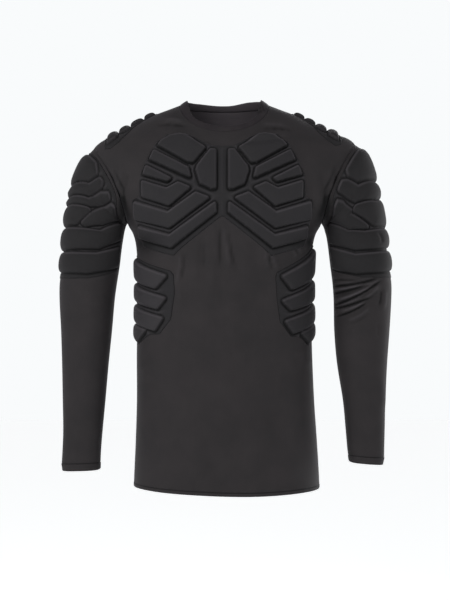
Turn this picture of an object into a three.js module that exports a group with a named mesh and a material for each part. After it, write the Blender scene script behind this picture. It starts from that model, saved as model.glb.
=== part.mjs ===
// Padded long-sleeve sports shirt, filled out as it is worn, with nobody inside.
// Millimetres, +Z up. The front faces -Y and the wearer's left is +X.
// The origin is midway between the shoulders, at the height where their seams meet the neckband.
import * as THREE from "three";

// Driving sizes of the cut.
const clothThickness = 1.5;
const seamGap = 0.3;
const padGap = 0.95; // between a panel and the pad sewn over it
const padBase = 1.2; // the stitched-down layer of a pad
const foamHeight = 5.6; // foam above that layer
const foamRounding = 3.4; // how far the foam's edge slopes in
const bandHeight = 13;
const hemZ = -699;
const neckCornerZ = 8; // where the shoulder seam meets the neckband
const neckFrontZ = -50;
const neckBackZ = 4;

// Turns rows of numbers into objects, so that a table's columns have names.
const table = (columns, rows) =>
  rows.map((row) => Object.fromEntries(columns.map((name, i) => [name, row[i]])));

// Torso: one horizontal section for each row. frontY, sideY and backY are the cloth at the centre
// front, at the side seam and at the centre back. square is the superellipse exponent.
const torso = table(
  ["z", "centreX", "half", "frontY", "sideY", "backY", "square"],
  [
    [-760, 4, 173, -112, 4, 115, 2.3],
    [-690, 4, 172, -112, 4, 114, 2.3],
    [-620, 3.5, 168.5, -110, 3, 112, 2.3],
    [-540, 2, 164.5, -107, 2, 103, 2.3],
    [-450, 0, 162.5, -106, 0, 94, 2.3],
    [-370, 0, 161, -107, 0, 90, 2.35],
    [-300, 0, 161, -110, 0, 93, 2.4],
    [-255, 0, 163.5, -114.5, 0, 98, 2.45],
    [-231, 0, 169, -116, 0, 100, 2.5],
    [-216, 0, 177.5, -117, 1, 101, 2.5],
    [-210, 0, 181, -117.5, 1, 102, 2.55],
    [-200, 0, 193, -118, 2, 103, 2.57],
    [-185, 0, 206, -118, 3, 104, 2.6],
    [-165, 0, 220, -117, 4, 105, 2.6],
    [-140, 0, 233, -113, 5, 105, 2.55],
    [-115, 0, 244, -108, 6, 103, 2.45],
    [-92, 0, 250, -102, 7, 98, 2.3],
    [-72, 0, 243, -95, 7, 93, 2.15],
    [-58, 0, 228, -89, 7, 87, 2.05],
    [-44, 0, 199, -82, 7, 81, 2],
    [-28, 0, 168, -75, 7, 74, 2],
    [-10, 0, 132, -67, 7, 68, 2],
    [-2, 0, 110, -63, 6, 64, 2],
    [7, 0, 86, -58, 6, 60, 2],
    [13, 0, 70, -54, 6, 57, 2],
  ],
);

// The armhole lies in a plane through these two lines, at the top of the shoulder and at the armpit.
const armholeTop = { x: 243, z: -72 };
const armpit = { x: 181, z: -210 };

// Sleeves: one ring for each row, through an inner and an outer point seen from the front.
const ringColumns = ["innerX", "innerZ", "outerX", "outerZ", "frontY", "backY", "square"];
const sleeveRightRows = table(ringColumns, [
  [181, -210, 243, -72, -58, 60, 2.2],
  [182, -212, 252, -82, -58, 60, 2.2],
  [183, -214, 263, -99, -58, 60, 2.2],
  [184, -217, 273, -121, -58, 60, 2.2],
  [185, -221, 281, -145, -58, 59, 2.2],
  [186.5, -227, 288, -176, -57, 58, 2.2],
  [188, -236, 293, -210, -56, 57, 2.2],
  [191, -256, 297, -246, -56, 55, 2.2],
  [195, -290, 300, -285, -56, 53, 2.2],
  [200, -322, 302, -320, -54, 50, 2.2],
  [204, -352, 303, -352, -51, 46, 2.2],
  [209, -410, 303, -410, -48, 39, 2.2],
  [215, -470, 301, -470, -46, 33, 2.2],
  [221, -540, 299.5, -540, -43, 25, 2.2],
  [226, -595, 298.5, -596, -41, 19, 2.3],
  [229, -635, 300, -637, -39, 15, 2.4],
  [230, -666, 302, -668, -38, 13, 2.5],
]);
const sleeveLeftRows = table(ringColumns, [
  [181, -210, 243, -72, -58, 60, 2.2],
  [182, -212, 254, -80, -58, 60, 2.2],
  [183, -214, 265, -97, -58, 60, 2.2],
  [184.5, -217, 274, -120, -58, 60, 2.2],
  [186, -221, 281, -145, -58, 59, 2.2],
  [187.5, -227, 287.5, -176, -57, 58, 2.2],
  [190, -236, 293.5, -210, -56, 57, 2.2],
  [193, -256, 299, -246, -56, 55, 2.2],
  [197, -290, 303.5, -285, -56, 53, 2.2],
  [201, -322, 306, -320, -55, 50, 2.2],
  [203, -352, 307, -352, -53, 46, 2.2],
  [204, -410, 306, -410, -50, 39, 2.2],
  [209, -470, 301.5, -470, -47, 33, 2.2],
  [220, -540, 298, -541, -43, 25, 2.2],
  [225, -595, 296.5, -597, -41, 19, 2.3],
  [228, -630, 295.5, -634, -39, 15, 2.4],
  [231, -652, 295.5, -657, -38, 13, 2.5],
]);

// A smooth curve through a table's rows. The key column rises or falls all the way.
function between(rows, key, at) {
  const up = rows.at(-1)[key] > rows[0][key];
  const sorted = up ? rows : [...rows].reverse();
  const last = sorted.length - 1;
  const t = Math.min(Math.max(at, sorted[0][key]), sorted[last][key]);
  let i = 0;
  while (i < last - 1 && sorted[i + 1][key] < t) i += 1;
  const [a, b] = [sorted[i], sorted[i + 1]];
  const before = sorted[Math.max(i - 1, 0)];
  const after = sorted[Math.min(i + 2, last)];
  const span = b[key] - a[key];
  const s = (t - a[key]) / span;
  const out = {};
  for (const name of Object.keys(a)) {
    const slopeA = (b[name] - before[name]) / (b[key] - before[key]);
    const slopeB = (after[name] - a[name]) / (after[key] - a[key]);
    out[name] =
      a[name] * (2 * s ** 3 - 3 * s ** 2 + 1) +
      b[name] * (3 * s ** 2 - 2 * s ** 3) +
      span * (slopeA * (s ** 3 - 2 * s ** 2 + s) + slopeB * (s ** 3 - s ** 2));
  }
  return out;
}

const power = (value, exponent) => Math.sign(value) * Math.abs(value) ** exponent;
const mix = (a, b, t) => a + (b - a) * t;
const ease = (t) => {
  const s = Math.min(Math.max(t, 0), 1);
  return s * s * (3 - 2 * s);
};

// Folds of the cloth, seen from the front (face -1) or the back (face 1): a soft trough or ridge
// along a line. width is half the fold's breadth and rise is its height, below 0 for a trough.
const folds = table(
  ["face", "x0", "z0", "x1", "z1", "width", "rise"],
  [
    // under the point of the chest pad
    [-1, -10, -212, -16, -300, 11, 3.2],
    [-1, 9, -214, 8, -292, 10, 2.8],
    [-1, 30, -222, 40, -284, 12, 2.4],
    [-1, -1, -226, -4, -318, 8, -2.6],
    [-1, 66, -280, 86, -366, 12, 3],
    [-1, 48, -280, 64, -350, 9, -2],
    // waist and hem
    [-1, 140, -428, 150, -478, 12, 2.6],
    [-1, -150, -462, -140, -505, 12, 2.4],
    [-1, -60, -560, -44, -690, 18, 2],
    [-1, 70, -548, 62, -692, 18, 2],
    // the same kind at the back
    [1, 0, -236, 4, -330, 14, -3],
    [1, -34, -250, -22, -346, 13, 2.6],
    [1, 38, -262, 26, -352, 13, 2.6],
    [1, -92, -330, 70, -352, 15, 2.6],
    [1, -74, -372, 98, -388, 15, 2.4],
    [1, -56, -556, -44, -690, 18, 2],
    [1, 66, -548, 54, -692, 18, 2],
    // inside of the elbow, wearer's left
    [-1, 206, -332, 270, -326, 6.5, 3.2],
    [-1, 208, -352, 284, -328, 6.5, 3.6],
    [-1, 210, -370, 288, -340, 6.5, 3.4],
    [-1, 212, -388, 280, -358, 6.5, 3],
    [1, 206, -340, 276, -330, 7, 2.6],
    [1, 208, -362, 280, -346, 7, 2.6],
    // inside of the elbow, wearer's right
    [-1, -206, -338, -270, -332, 7, 2.2],
    [-1, -206, -360, -262, -348, 7, 2],
    [1, -206, -342, -276, -334, 7, 2.2],
    [1, -208, -364, -280, -348, 7, 2.2],
  ],
);

// How far the folds lift the cloth at a point whose outward direction is known.
function foldRise(point, normal) {
  let rise = 0;
  for (const fold of folds) {
    const facing = ease((normal.y * fold.face - 0.15) / 0.5);
    if (!facing) continue;
    const dx = fold.x1 - fold.x0;
    const dz = fold.z1 - fold.z0;
    const length = Math.hypot(dx, dz);
    const along = ((point.x - fold.x0) * dx + (point.z - fold.z0) * dz) / length;
    const off = ((point.z - fold.z0) * dx - (point.x - fold.x0) * dz) / length;
    if (Math.abs(off) > 2.4 * fold.width) continue;
    const taper = ease(along / (0.35 * length)) * ease((length - along) / (0.35 * length));
    rise += facing * taper * fold.rise * Math.exp(-((off / fold.width) ** 2));
  }
  return rise;
}

// Half of a torso section, from the centre front round the side to the centre back, with its length.
const sectionSteps = 240;
const sections = new Map();
function halfSection(z) {
  const key = Math.round(z * 1000);
  if (sections.has(key)) return sections.get(key);
  const row = between(torso, "z", z);
  const points = [];
  let length = 0;
  for (let i = 0; i <= sectionSteps; i += 1) {
    const angle = Math.PI * (0.5 - i / sectionSteps);
    const x = i % sectionSteps ? row.half * power(Math.cos(angle), 2 / row.square) : 0;
    const out = power(Math.sin(angle), 2 / row.square);
    const y = row.sideY + Math.abs(out) * ((out > 0 ? row.frontY : row.backY) - row.sideY);
    if (i) length += Math.hypot(x - points[i - 1].x, y - points[i - 1].y);
    points.push({ x, y, length });
  }
  const made = { row, points, side: points[sectionSteps / 2].length, total: length };
  sections.set(key, made);
  return made;
}

// The point u mm round the section from the centre front, towards the wearer's left for u > 0.
function girthPoint(u, z) {
  const { row, points, total } = halfSection(z);
  let turn = Math.sign(u) || 1;
  let along = Math.abs(u);
  if (along > total) {
    along = 2 * total - along;
    turn = -turn;
  }
  let low = 0;
  let high = points.length - 1;
  while (high - low > 1) {
    const middle = (low + high) >> 1;
    if (points[middle].length < along) low = middle;
    else high = middle;
  }
  const [a, b] = [points[low], points[high]];
  const s = (along - a.length) / Math.max(b.length - a.length, 1e-9);
  return new THREE.Vector3(row.centreX + turn * mix(a.x, b.x, s), mix(a.y, b.y, s), z);
}

// A point of a surface, moved out along its normal by the folds and by an offset. turn is -1 on a
// surface whose two directions are mirrored.
function lifted(surface, u, v, offset) {
  const step = 1.5;
  const point = surface.at(u, v);
  const across = surface.at(u + step, v).sub(surface.at(u - step, v));
  const along = surface.at(u, v + step).sub(surface.at(u, v - step));
  const normal = across.cross(along).normalize().multiplyScalar(surface.turn);
  return point.addScaledVector(normal, offset + foldRise(point, normal));
}

// Front or back of the torso over the shoulder: c is the height's place along X, w the distance from the
// crest, below 0 towards the front.
const crestCurves = new Map();
function crestCurve(x) {
  const key = Math.round(x * 100);
  if (crestCurves.has(key)) return crestCurves.get(key);
  let low = -92;
  let high = 8;
  for (let i = 0; i < 40; i += 1) {
    const z = (low + high) / 2;
    if (between(torso, "z", z).half > Math.abs(x)) low = z;
    else high = z;
  }
  const sides = [-1, 1].map((face) => {
    const points = [];
    let length = 0;
    for (let i = 0; i <= 90; i += 1) {
      const z = low - 150 * (i / 90) ** 2;
      const row = between(torso, "z", z);
      const share = Math.min(Math.abs(x) / row.half, 1);
      const reach = i ? (1 - share ** row.square) ** (1 / row.square) : 0;
      const y = row.sideY + reach * ((face < 0 ? row.frontY : row.backY) - row.sideY);
      if (i) length += Math.hypot(y - points[i - 1].y, z - points[i - 1].z);
      points.push({ y, z, length });
    }
    return points;
  });
  crestCurves.set(key, sides);
  return sides;
}
function shoulderPoint(x, w) {
  const points = crestCurve(x)[w < 0 ? 0 : 1];
  const along = Math.abs(w);
  let i = 1;
  while (i < points.length - 1 && points[i].length < along) i += 1;
  const [a, b] = [points[i - 1], points[i]];
  const s = (along - a.length) / Math.max(b.length - a.length, 1e-9);
  return new THREE.Vector3(x, mix(a.y, b.y, s), mix(a.z, b.z, s));
}

// Where the armhole's plane meets the torso at height z, on the front (face -1) or the back (face 1).
const armholeX = (z) => mix(armpit.x, armholeTop.x, (z - armpit.z) / (armholeTop.z - armpit.z));
function armholeY(z, face) {
  const row = between(torso, "z", z);
  const share = Math.min(armholeX(z) / row.half, 1);
  const reach = (1 - share ** row.square) ** (1 / row.square);
  return row.sideY + reach * ((face < 0 ? row.frontY : row.backY) - row.sideY);
}

// Sleeves. The rows gain the distance down the outer side, which places a ring.
function measured(rows) {
  let along = 0;
  return rows.map((row, i) => {
    if (i) along += Math.hypot(row.outerX - rows[i - 1].outerX, row.outerZ - rows[i - 1].outerZ);
    return { ...row, along };
  });
}
const sleeves = { left: measured(sleeveLeftRows), right: measured(sleeveRightRows) };

// One ring, as points all round from the outer side over the front, with their distances.
const ringSteps = 180;
const rings = new Map();
function sleeveRing(side, along) {
  const key = side + Math.round(along * 100);
  if (rings.has(key)) return rings.get(key);
  const rows = sleeves[side];
  const row = between(rows, "along", along);
  const turn = side === "left" ? 1 : -1;
  const fromArmhole = 1 - ease(along / 70);
  const points = [];
  let length = 0;
  for (let i = 0; i <= ringSteps; i += 1) {
    const angle = (2 * Math.PI * i) / ringSteps;
    const c = power(Math.cos(angle), 2 / row.square);
    const s = power(Math.sin(angle), 2 / row.square);
    const face = s >= 0 ? -1 : 1;
    const own = mix((row.frontY + row.backY) / 2, face < 0 ? row.frontY : row.backY, Math.abs(s));
    const seamZ = mix(armpit.z, armholeTop.z, (c + 1) / 2);
    const y = fromArmhole ? mix(own, armholeY(seamZ, face), fromArmhole) : own;
    const x = mix(row.innerX, row.outerX, (c + 1) / 2);
    const z = mix(row.innerZ, row.outerZ, (c + 1) / 2);
    const point = new THREE.Vector3(turn * x, y, z);
    if (i) length += point.distanceTo(points[i - 1].point);
    points.push({ point, length });
  }
  const made = { points, total: length };
  rings.set(key, made);
  return made;
}

// The point a mm round a sleeve's ring from its outer side, towards the front for a > 0.
function sleevePoint(side, a, along) {
  const { points, total } = sleeveRing(side, along);
  const wanted = ((a % total) + total) % total;
  let low = 0;
  let high = points.length - 1;
  while (high - low > 1) {
    const middle = (low + high) >> 1;
    if (points[middle].length < wanted) low = middle;
    else high = middle;
  }
  const [p, q] = [points[low], points[high]];
  const s = (wanted - p.length) / Math.max(q.length - p.length, 1e-9);
  return p.point.clone().lerp(q.point, s);
}

const torsoSurface = { at: girthPoint, turn: 1 };
const shoulderSurface = { at: shoulderPoint, turn: 1 };
const sleeveSurface = {
  left: { at: (a, along) => sleevePoint("left", a, along), turn: 1 },
  right: { at: (a, along) => sleevePoint("right", a, along), turn: -1 },
};

// A point of a sleeve's cloth, moved in within its ring's plane, so that the armhole end stays flat.
function sleeveInside(side, a, along, thickness) {
  const outer = lifted(sleeveSurface[side], a, along, 0);
  const row = between(sleeves[side], "along", along);
  const turn = side === "left" ? 1 : -1;
  const ringAcross = new THREE.Vector3(turn * (row.outerX - row.innerX), 0, row.outerZ - row.innerZ);
  const ringUp = ringAcross.clone().cross(new THREE.Vector3(0, 1, 0)).normalize();
  const tangent = sleevePoint(side, a + 1.5, along).sub(sleevePoint(side, a - 1.5, along));
  const inward = tangent.cross(ringUp).normalize();
  const centre = new THREE.Vector3(
    (turn * (row.outerX + row.innerX)) / 2, (row.frontY + row.backY) / 2, (row.outerZ + row.innerZ) / 2,
  );
  if (inward.dot(centre.sub(outer)) < 0) inward.negate();
  return outer.addScaledVector(inward, thickness);
}

// Joins triangles of points into one mesh, facing out.
function meshOf(name, triangles, material) {
  const positions = [];
  let volume = 0;
  for (const [a, b, c] of triangles) volume += a.dot(b.clone().cross(c));
  for (const [a, b, c] of triangles) {
    for (const p of volume > 0 ? [a, b, c] : [a, c, b]) positions.push(p.x, p.y, p.z);
  }
  const geometry = new THREE.BufferGeometry();
  geometry.setAttribute("position", new THREE.Float32BufferAttribute(positions, 3));
  geometry.computeVertexNormals();
  const mesh = new THREE.Mesh(geometry, material);
  mesh.name = name;
  return mesh;
}

// A sheet of cloth between a grid of outer points and one of inner points. A round sheet closes on itself.
function sheetTriangles(outer, inner, round) {
  const rows = outer.length;
  const columns = outer[0].length;
  const triangles = [];
  const quad = (a, b, c, d) => triangles.push([a, b, c], [a, c, d]);
  const across = round ? columns : columns - 1;
  for (let i = 0; i < rows - 1; i += 1) {
    for (let j = 0; j < across; j += 1) {
      const k = (j + 1) % columns;
      quad(outer[i][j], outer[i][k], outer[i + 1][k], outer[i + 1][j]);
      quad(inner[i][k], inner[i][j], inner[i + 1][j], inner[i + 1][k]);
    }
    if (!round) {
      const k = columns - 1;
      quad(inner[i][0], outer[i][0], outer[i + 1][0], inner[i + 1][0]);
      quad(outer[i][k], inner[i][k], inner[i + 1][k], outer[i + 1][k]);
    }
  }
  for (let j = 0; j < across; j += 1) {
    const k = (j + 1) % columns;
    quad(inner[0][j], inner[0][k], outer[0][k], outer[0][j]);
    quad(outer[rows - 1][j], outer[rows - 1][k], inner[rows - 1][k], inner[rows - 1][j]);
  }
  return triangles;
}

const cloth = new THREE.MeshStandardMaterial({ name: "cloth", color: 0x302f31, roughness: 0.8 });
const padCloth = new THREE.MeshStandardMaterial({ name: "padCloth", color: 0x2e2d2f, roughness: 0.7 });
const shirt = new THREE.Group();
shirt.name = "padded_long_sleeve_shirt";
const add = (name, triangles, material) => shirt.add(meshOf(name, triangles, material));

// How far round the section the place x is from a body panel's own middle.
function distanceToX(x, z, face) {
  const { points, total } = halfSection(z);
  let k = sectionSteps / 2;
  while (points[k].x > x && points[k + face]) k += face;
  if (k === sectionSteps / 2) return face < 0 ? points[k].length : total - points[k].length;
  const [a, b] = [points[k - face], points[k]];
  const length = mix(a.length, b.length, (a.x - x) / (a.x - b.x));
  return face < 0 ? length : total - length;
}

// The edge of a body panel on the wearer's left, from the hem up: side seam, armhole, shoulder seam.
const sideHeights = [hemZ, -650, -590, -530, -470, -415, -370, -330, -298, -274, -254, -239, -226, -216];
const crestHeights = [-60, -46, -30, -14, -2, neckCornerZ];
function panelEdge(face) {
  const seam = (z) => ({ z, distance: distanceToX(Infinity, z, face) - seamGap / 2 });
  const steps = 8;
  const armhole = Array.from({ length: steps + 1 }, (_, i) => {
    // close together at the ends, where the armhole turns under the arm and over the shoulder
    const z = mix(armpit.z + 0.6, armholeTop.z - 0.4, 0.5 - 0.5 * Math.cos((Math.PI * i) / steps));
    return { z, distance: Math.min(distanceToX(armholeX(z) - seamGap / 2, z, face), seam(z).distance) };
  });
  return [...sideHeights.map(seam), ...armhole, ...crestHeights.map(seam)];
}

// A body panel. Rows follow the edge at the sides and even out towards the middle, where the top row
// dips along the neckline.
const columnShares = [0, 0.15, 0.31, 0.46, 0.6, 0.72, 0.82, 0.9, 0.96, 1];
function panelPlace(face, edge, i, share) {
  const end = edge[i];
  const straightRows = sideHeights.length;
  const up = Math.max(0, (i - straightRows + 1) / (edge.length - straightRows));
  const middleTop = face < 0 ? neckFrontZ : neckBackZ;
  const middleZ = mix(end.z, mix(armpit.z - 6, middleTop, up), ease(up * 8));
  // towards the neckline a row bends into a quarter of an ellipse
  const round = ease((up - 0.45) / 0.55);
  const size = Math.abs(share);
  const quarter = (size * Math.PI) / 2;
  const z = mix(middleZ, end.z, mix(size ** 2.2, 1 - Math.cos(quarter), round));
  const endX = halfSection(end.z).row.half;
  const bent = size < 1 ? distanceToX(endX * Math.sin(quarter), z, face) : end.distance;
  const distance = mix(size * end.distance, bent, round);
  const turn = share < 0 ? -1 : 1;
  return { u: turn * (face < 0 ? distance : halfSection(z).total - distance), z };
}
function bodyPanel(face) {
  const edge = panelEdge(face);
  const shares = [...columnShares.slice(1).reverse().map((s) => -s), ...columnShares];
  const grid = (offset) =>
    edge.map((_, i) =>
      shares.map((share) => {
        const { u, z } = panelPlace(face, edge, i, share);
        return lifted(torsoSurface, u, z, offset);
      }),
    );
  return [grid(0), grid(-clothThickness)];
}

for (const [name, face] of [["front", -1], ["back", 1]]) {
  add(name, sheetTriangles(...bodyPanel(face), false), cloth);
}

// Sleeves, from just outside the armhole's plane to the cuff.
const ringPoints = 16;
for (const side of ["left", "right"]) {
  const end = sleeves[side].at(-1).along;
  const places = [0.4, 8, 20, 36, 56, 80, 108, 138, 168, 198, 222, 238];
  for (let at = 248; at < 334; at += 9) places.push(at);
  for (let at = 346; at < end - 12; at += 30) places.push(at);
  places.push(end);
  const ring = (along, place) => {
    const { total } = sleeveRing(side, along);
    return Array.from({ length: ringPoints }, (_, j) => place((total * j) / ringPoints, along));
  };
  const outer = places.map((at) => ring(at, (a, along) => lifted(sleeveSurface[side], a, along, 0)));
  const inner = places.map((at) =>
    ring(at, (a, along) => sleeveInside(side, a, along, clothThickness)),
  );
  add("sleeve_" + side, sheetTriangles(outer, inner, true), cloth);
}

// Neckband: a narrow folded band that stands on the neckline and leans in.
function necklinePoint(face, share) {
  const edge = panelEdge(face);
  const { u, z } = panelPlace(face, edge, edge.length - 1, share);
  return girthPoint(u, z);
}
const bandShares = [-0.97, -0.9, -0.8, -0.68, -0.54, -0.4, -0.26, -0.13, 0];
const bandRound = [...bandShares, ...bandShares.slice(0, -1).reverse().map((s) => -s)];
const neckline = [
  ...bandRound.map((share) => necklinePoint(-1, share)),
  ...[...bandRound].reverse().map((share) => necklinePoint(1, share)),
];
// Across the band: distance up from the neckline and out from its middle layer.
const bandSection = [
  [0.8, 0.75],
  [bandHeight * 0.5, 1.3],
  [bandHeight - 0.8, 1],
  [bandHeight, 0],
  [bandHeight - 0.8, -1],
  [bandHeight * 0.5, -1.3],
  [0.8, -0.75],
];
const bandRings = neckline.map((point, i) => {
  const count = neckline.length;
  const tangent = neckline[(i + 1) % count].clone().sub(neckline[(i + count - 1) % count]).normalize();
  const sideways = Math.abs(point.x) / 84;
  const towardsNeck = new THREE.Vector3(-point.x, 0, 8 - point.y).setLength(mix(0.46, 0.86, sideways ** 2));
  const up = towardsNeck.add(new THREE.Vector3(0, 0, 0.75)).normalize();
  up.addScaledVector(tangent, -up.dot(tangent)).normalize();
  const out = tangent.clone().cross(up).normalize();
  if (out.dot(new THREE.Vector3(point.x, point.y - 8, 0)) < 0) out.negate();
  return bandSection.map(([rise, thick]) =>
    point.clone().addScaledVector(up, rise).addScaledVector(out, thick - 0.75),
  );
});
const bandTriangles = [];
bandRings.forEach((ring, i) => {
  const next = bandRings[(i + 1) % bandRings.length];
  ring.forEach((a, j) => {
    const k = (j + 1) % ring.length;
    bandTriangles.push([a, next[j], next[k]], [a, next[k], ring[k]]);
  });
});
add("neckband", bandTriangles, cloth);

// Pads, drawn flat in millimetres of their panel. Each closed line lists its corners.
const area = (line) =>
  line.reduce((sum, p, i) => {
    const q = line[(i + 1) % line.length];
    return sum + (p[0] * q[1] - q[0] * p[1]) / 2;
  }, 0);

// A closed line with its corners rounded, turning left all the way.
function roundedLine(corners, radius) {
  const line = area(corners) < 0 ? [...corners].reverse() : corners;
  return line.flatMap((corner, i) => {
    const p = new THREE.Vector2(...corner);
    const a = new THREE.Vector2(...line[(i + line.length - 1) % line.length]).sub(p);
    const b = new THREE.Vector2(...line[(i + 1) % line.length]).sub(p);
    const angle = Math.acos(Math.min(1, Math.max(-1, a.dot(b) / (a.length() * b.length()))));
    if (angle > 2.35) return [p];
    const cut = Math.min(radius / Math.tan(angle / 2), 0.42 * a.length(), 0.42 * b.length());
    const start = p.clone().addScaledVector(a.normalize(), cut);
    const end = p.clone().addScaledVector(b.normalize(), cut);
    if (angle > 1.75) return [start, end];
    return [start, start.clone().add(end).multiplyScalar(0.25).addScaledVector(p, 0.5), end];
  });
}

// Adds a point wherever a closed line crosses the stripes, which stand across the bend of the panel.
function stripedLine(line, axis, pitch) {
  return line.flatMap((p, i) => {
    const q = line[(i + 1) % line.length];
    const [from, to] = [p[axis] / pitch, q[axis] / pitch];
    const cuts = [];
    for (let k = Math.ceil(Math.min(from, to)); k <= Math.floor(Math.max(from, to)); k += 1) {
      const t = (k - from) / (to - from);
      const least = 3 / p.distanceTo(q);
      if (t > least && t < 1 - least) cuts.push(t);
    }
    cuts.sort((a, b) => a - b);
    return [p, ...cuts.map((t) => p.clone().lerp(q, t))];
  });
}

function insetLine(line, distance) {
  return line.map((p, i) => {
    const before = line[(i + line.length - 1) % line.length];
    const after = line[(i + 1) % line.length];
    const a = new THREE.Vector2(before.y - p.y, p.x - before.x).normalize();
    const b = new THREE.Vector2(p.y - after.y, after.x - p.x).normalize();
    const lean = a.add(b).divideScalar(Math.max(1 + a.dot(b), 0.5));
    return p.clone().addScaledVector(lean, distance);
  });
}

// Turns the shared edges of flat triangles until no triangle is a needless sliver.
function evened(faces, flat, stretch) {
  const cotangent = (a, b, c) => {
    const [ax, ay] = [(a[0] - c[0]) * stretch, a[1] - c[1]];
    const [bx, by] = [(b[0] - c[0]) * stretch, b[1] - c[1]];
    return (ax * bx + ay * by) / Math.max(Math.abs(ax * by - ay * bx), 1e-9);
  };
  const side = (a, b, c) => (b[0] - a[0]) * (c[1] - a[1]) - (b[1] - a[1]) * (c[0] - a[0]);
  for (let pass = 0; pass < 12; pass += 1) {
    const owners = new Map();
    faces.forEach((face, f) => {
      for (let k = 0; k < 3; k += 1) owners.set(`${face[k]} ${face[(k + 1) % 3]}`, [f, face[(k + 2) % 3]]);
    });
    const touched = new Set();
    for (const [key, [f, c]] of owners) {
      const [a, b] = key.split(" ").map(Number);
      const other = owners.get(`${b} ${a}`);
      if (!other || touched.has(f) || touched.has(other[0])) continue;
      const [pa, pb, pc, pd] = [a, b, c, other[1]].map((i) => flat[i]);
      if (cotangent(pa, pb, pc) + cotangent(pa, pb, pd) > -1e-6) continue;
      const turn = Math.sign(side(pa, pb, pc));
      if (side(pc, pd, pb) * turn <= 1e-3 || side(pd, pc, pa) * turn <= 1e-3) continue;
      faces[f] = [c, a, other[1]];
      faces[other[0]] = [other[1], b, c];
      touched.add(f).add(other[0]);
    }
    if (!touched.size) break;
  }
}

// A pad: its stitched-down layer, with a foam cell on each of its cells. Its edges are halved until
// the pad bends with the cloth to within bendError. stripes are the lines it bends along: the axis
// that they stand on, their pitch and how much sooner the pad bends that way.
const bendError = 0.8;
function pad(name, surface, outline, cells, { axis, pitch, stretch }) {
  const points = [];
  const groups = [[]];
  const lay = (line, h) => line.map((p) => points.push([p.x, p.y, h]) - 1);
  const wall = (low, high) =>
    low.forEach((a, i) => {
      const j = (i + 1) % low.length;
      groups[0].push([a, low[j], high[j]], [a, high[j], high[i]]);
    });
  const cap = (rings, flip) => {
    const lines = rings.map((ring) => ring.map((i) => new THREE.Vector2(...points[i])));
    const order = rings.flat();
    groups.push(
      THREE.ShapeUtils.triangulateShape(lines[0], lines.slice(1)).map((face) => {
        const [a, b, c] = face.map((i) => order[i]);
        return flip ? [a, c, b] : [a, b, c];
      }),
    );
    const wanted = order.length + 2 * rings.length - 4;
    if (groups.at(-1).length !== wanted) throw new Error(`${name}: a line crosses itself at ${points[order[0]]}`);
  };
  const edge = stripedLine(roundedLine(outline, 5), axis, pitch);
  const low = lay(edge, 0);
  const high = lay(edge, padBase);
  wall(low, high);
  cap([low], true);
  const holes = [];
  for (const cell of cells) {
    const foot = stripedLine(roundedLine(cell, 7), axis, pitch);
    const ring = lay(foot, padBase);
    const top = lay(insetLine(foot, foamRounding), padBase + foamHeight);
    wall(ring, top);
    cap([top], false);
    holes.push([...ring].reverse());
  }
  cap([high, ...holes], false);
  for (let i = 1; i < groups.length; i += 1) evened(groups[i], points, stretch);

  const laid = points.map(([u, v, h]) => lifted(surface, u, v, padGap + h));
  for (let pass = 0; pass < 5; pass += 1) {
    const middles = new Map();
    const middle = (a, b) => {
      const key = a < b ? `${a} ${b}` : `${b} ${a}`;
      if (!middles.has(key)) {
        const chord = new THREE.Line3(laid[a], laid[b]);
        const places = [0.5, 0.25, 0.75].map((t) => {
          const flat = points[a].map((value, k) => mix(value, points[b][k], t));
          return { flat, on: lifted(surface, flat[0], flat[1], padGap + flat[2]) };
        });
        const nearest = new THREE.Vector3();
        const bends = places.map(({ on }) => chord.closestPointToPoint(on, true, nearest).distanceTo(on));
        const tooBent = Math.max(...bends) > bendError;
        middles.set(key, tooBent ? points.push(places[0].flat) - 1 : -1);
        if (tooBent) laid.push(places[0].on);
      }
      return middles.get(key);
    };
    let grown = false;
    groups.forEach((faces, g) => {
      const next = [];
      for (const [a, b, c] of faces) {
        const [ab, bc, ca] = [middle(a, b), middle(b, c), middle(c, a)];
        const cut = [ab, bc, ca].filter((m) => m >= 0).length;
        if (cut === 0) next.push([a, b, c]);
        else if (cut === 3) next.push([a, ab, ca], [ab, b, bc], [ca, bc, c], [ab, bc, ca]);
        else if (cut === 1) {
          if (ab >= 0) next.push([a, ab, c], [ab, b, c]);
          if (bc >= 0) next.push([b, bc, a], [bc, c, a]);
          if (ca >= 0) next.push([c, ca, b], [ca, a, b]);
        } else {
          if (ab < 0) next.push([c, ca, bc], [ca, a, b], [ca, b, bc]);
          if (bc < 0) next.push([a, ab, ca], [ab, b, c], [ab, c, ca]);
          if (ca < 0) next.push([b, bc, ab], [bc, c, a], [bc, a, ab]);
        }
      }
      grown = grown || next.length > faces.length;
      groups[g] = next;
      if (g) evened(next, points, stretch);
    });
    if (!grown) break;
  }
  add(name, groups.flat().map((face) => face.map((i) => laid[i])), padCloth);
}

// Chest pad: each half's cells, as distance from the pad's middle and height.
const chestMiddle = -4;
const chestCells = [
  [[117, -76], [109, -67], [94, -58], [76, -55], [65, -57], [29, -81], [52, -109], [61, -108]],
  [[123, -84], [60, -117], [55, -137], [131, -102]],
  [[137, -112], [90, -136], [97, -143], [143, -129]],
  [[145, -139], [99, -154], [78, -143], [55, -153], [94, -185], [144, -169]],
  [[161, -175], [96, -195], [47, -161], [21, -171], [94, -224], [165, -205]],
  [[161, -218], [94, -236], [11, -177], [11, -197], [91, -259], [163, -240]],
  [[22, -84], [11, -84], [11, -156], [20, -156], [39, -147], [47, -123], [45, -114]],
];
const chestEdge = [
  [0, -76], [18, -76], [66, -51], [98, -53], [121, -69], [136, -99], [149, -128], [151, -140],
  [152, -168], [167, -173], [171, -205], [168, -244], [157, -252], [90, -268], [78, -254],
  [20, -212], [0, -204],
];
const mirrored = (line, turn) => line.map(([d, z]) => [chestMiddle + turn * d, z]);
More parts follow.
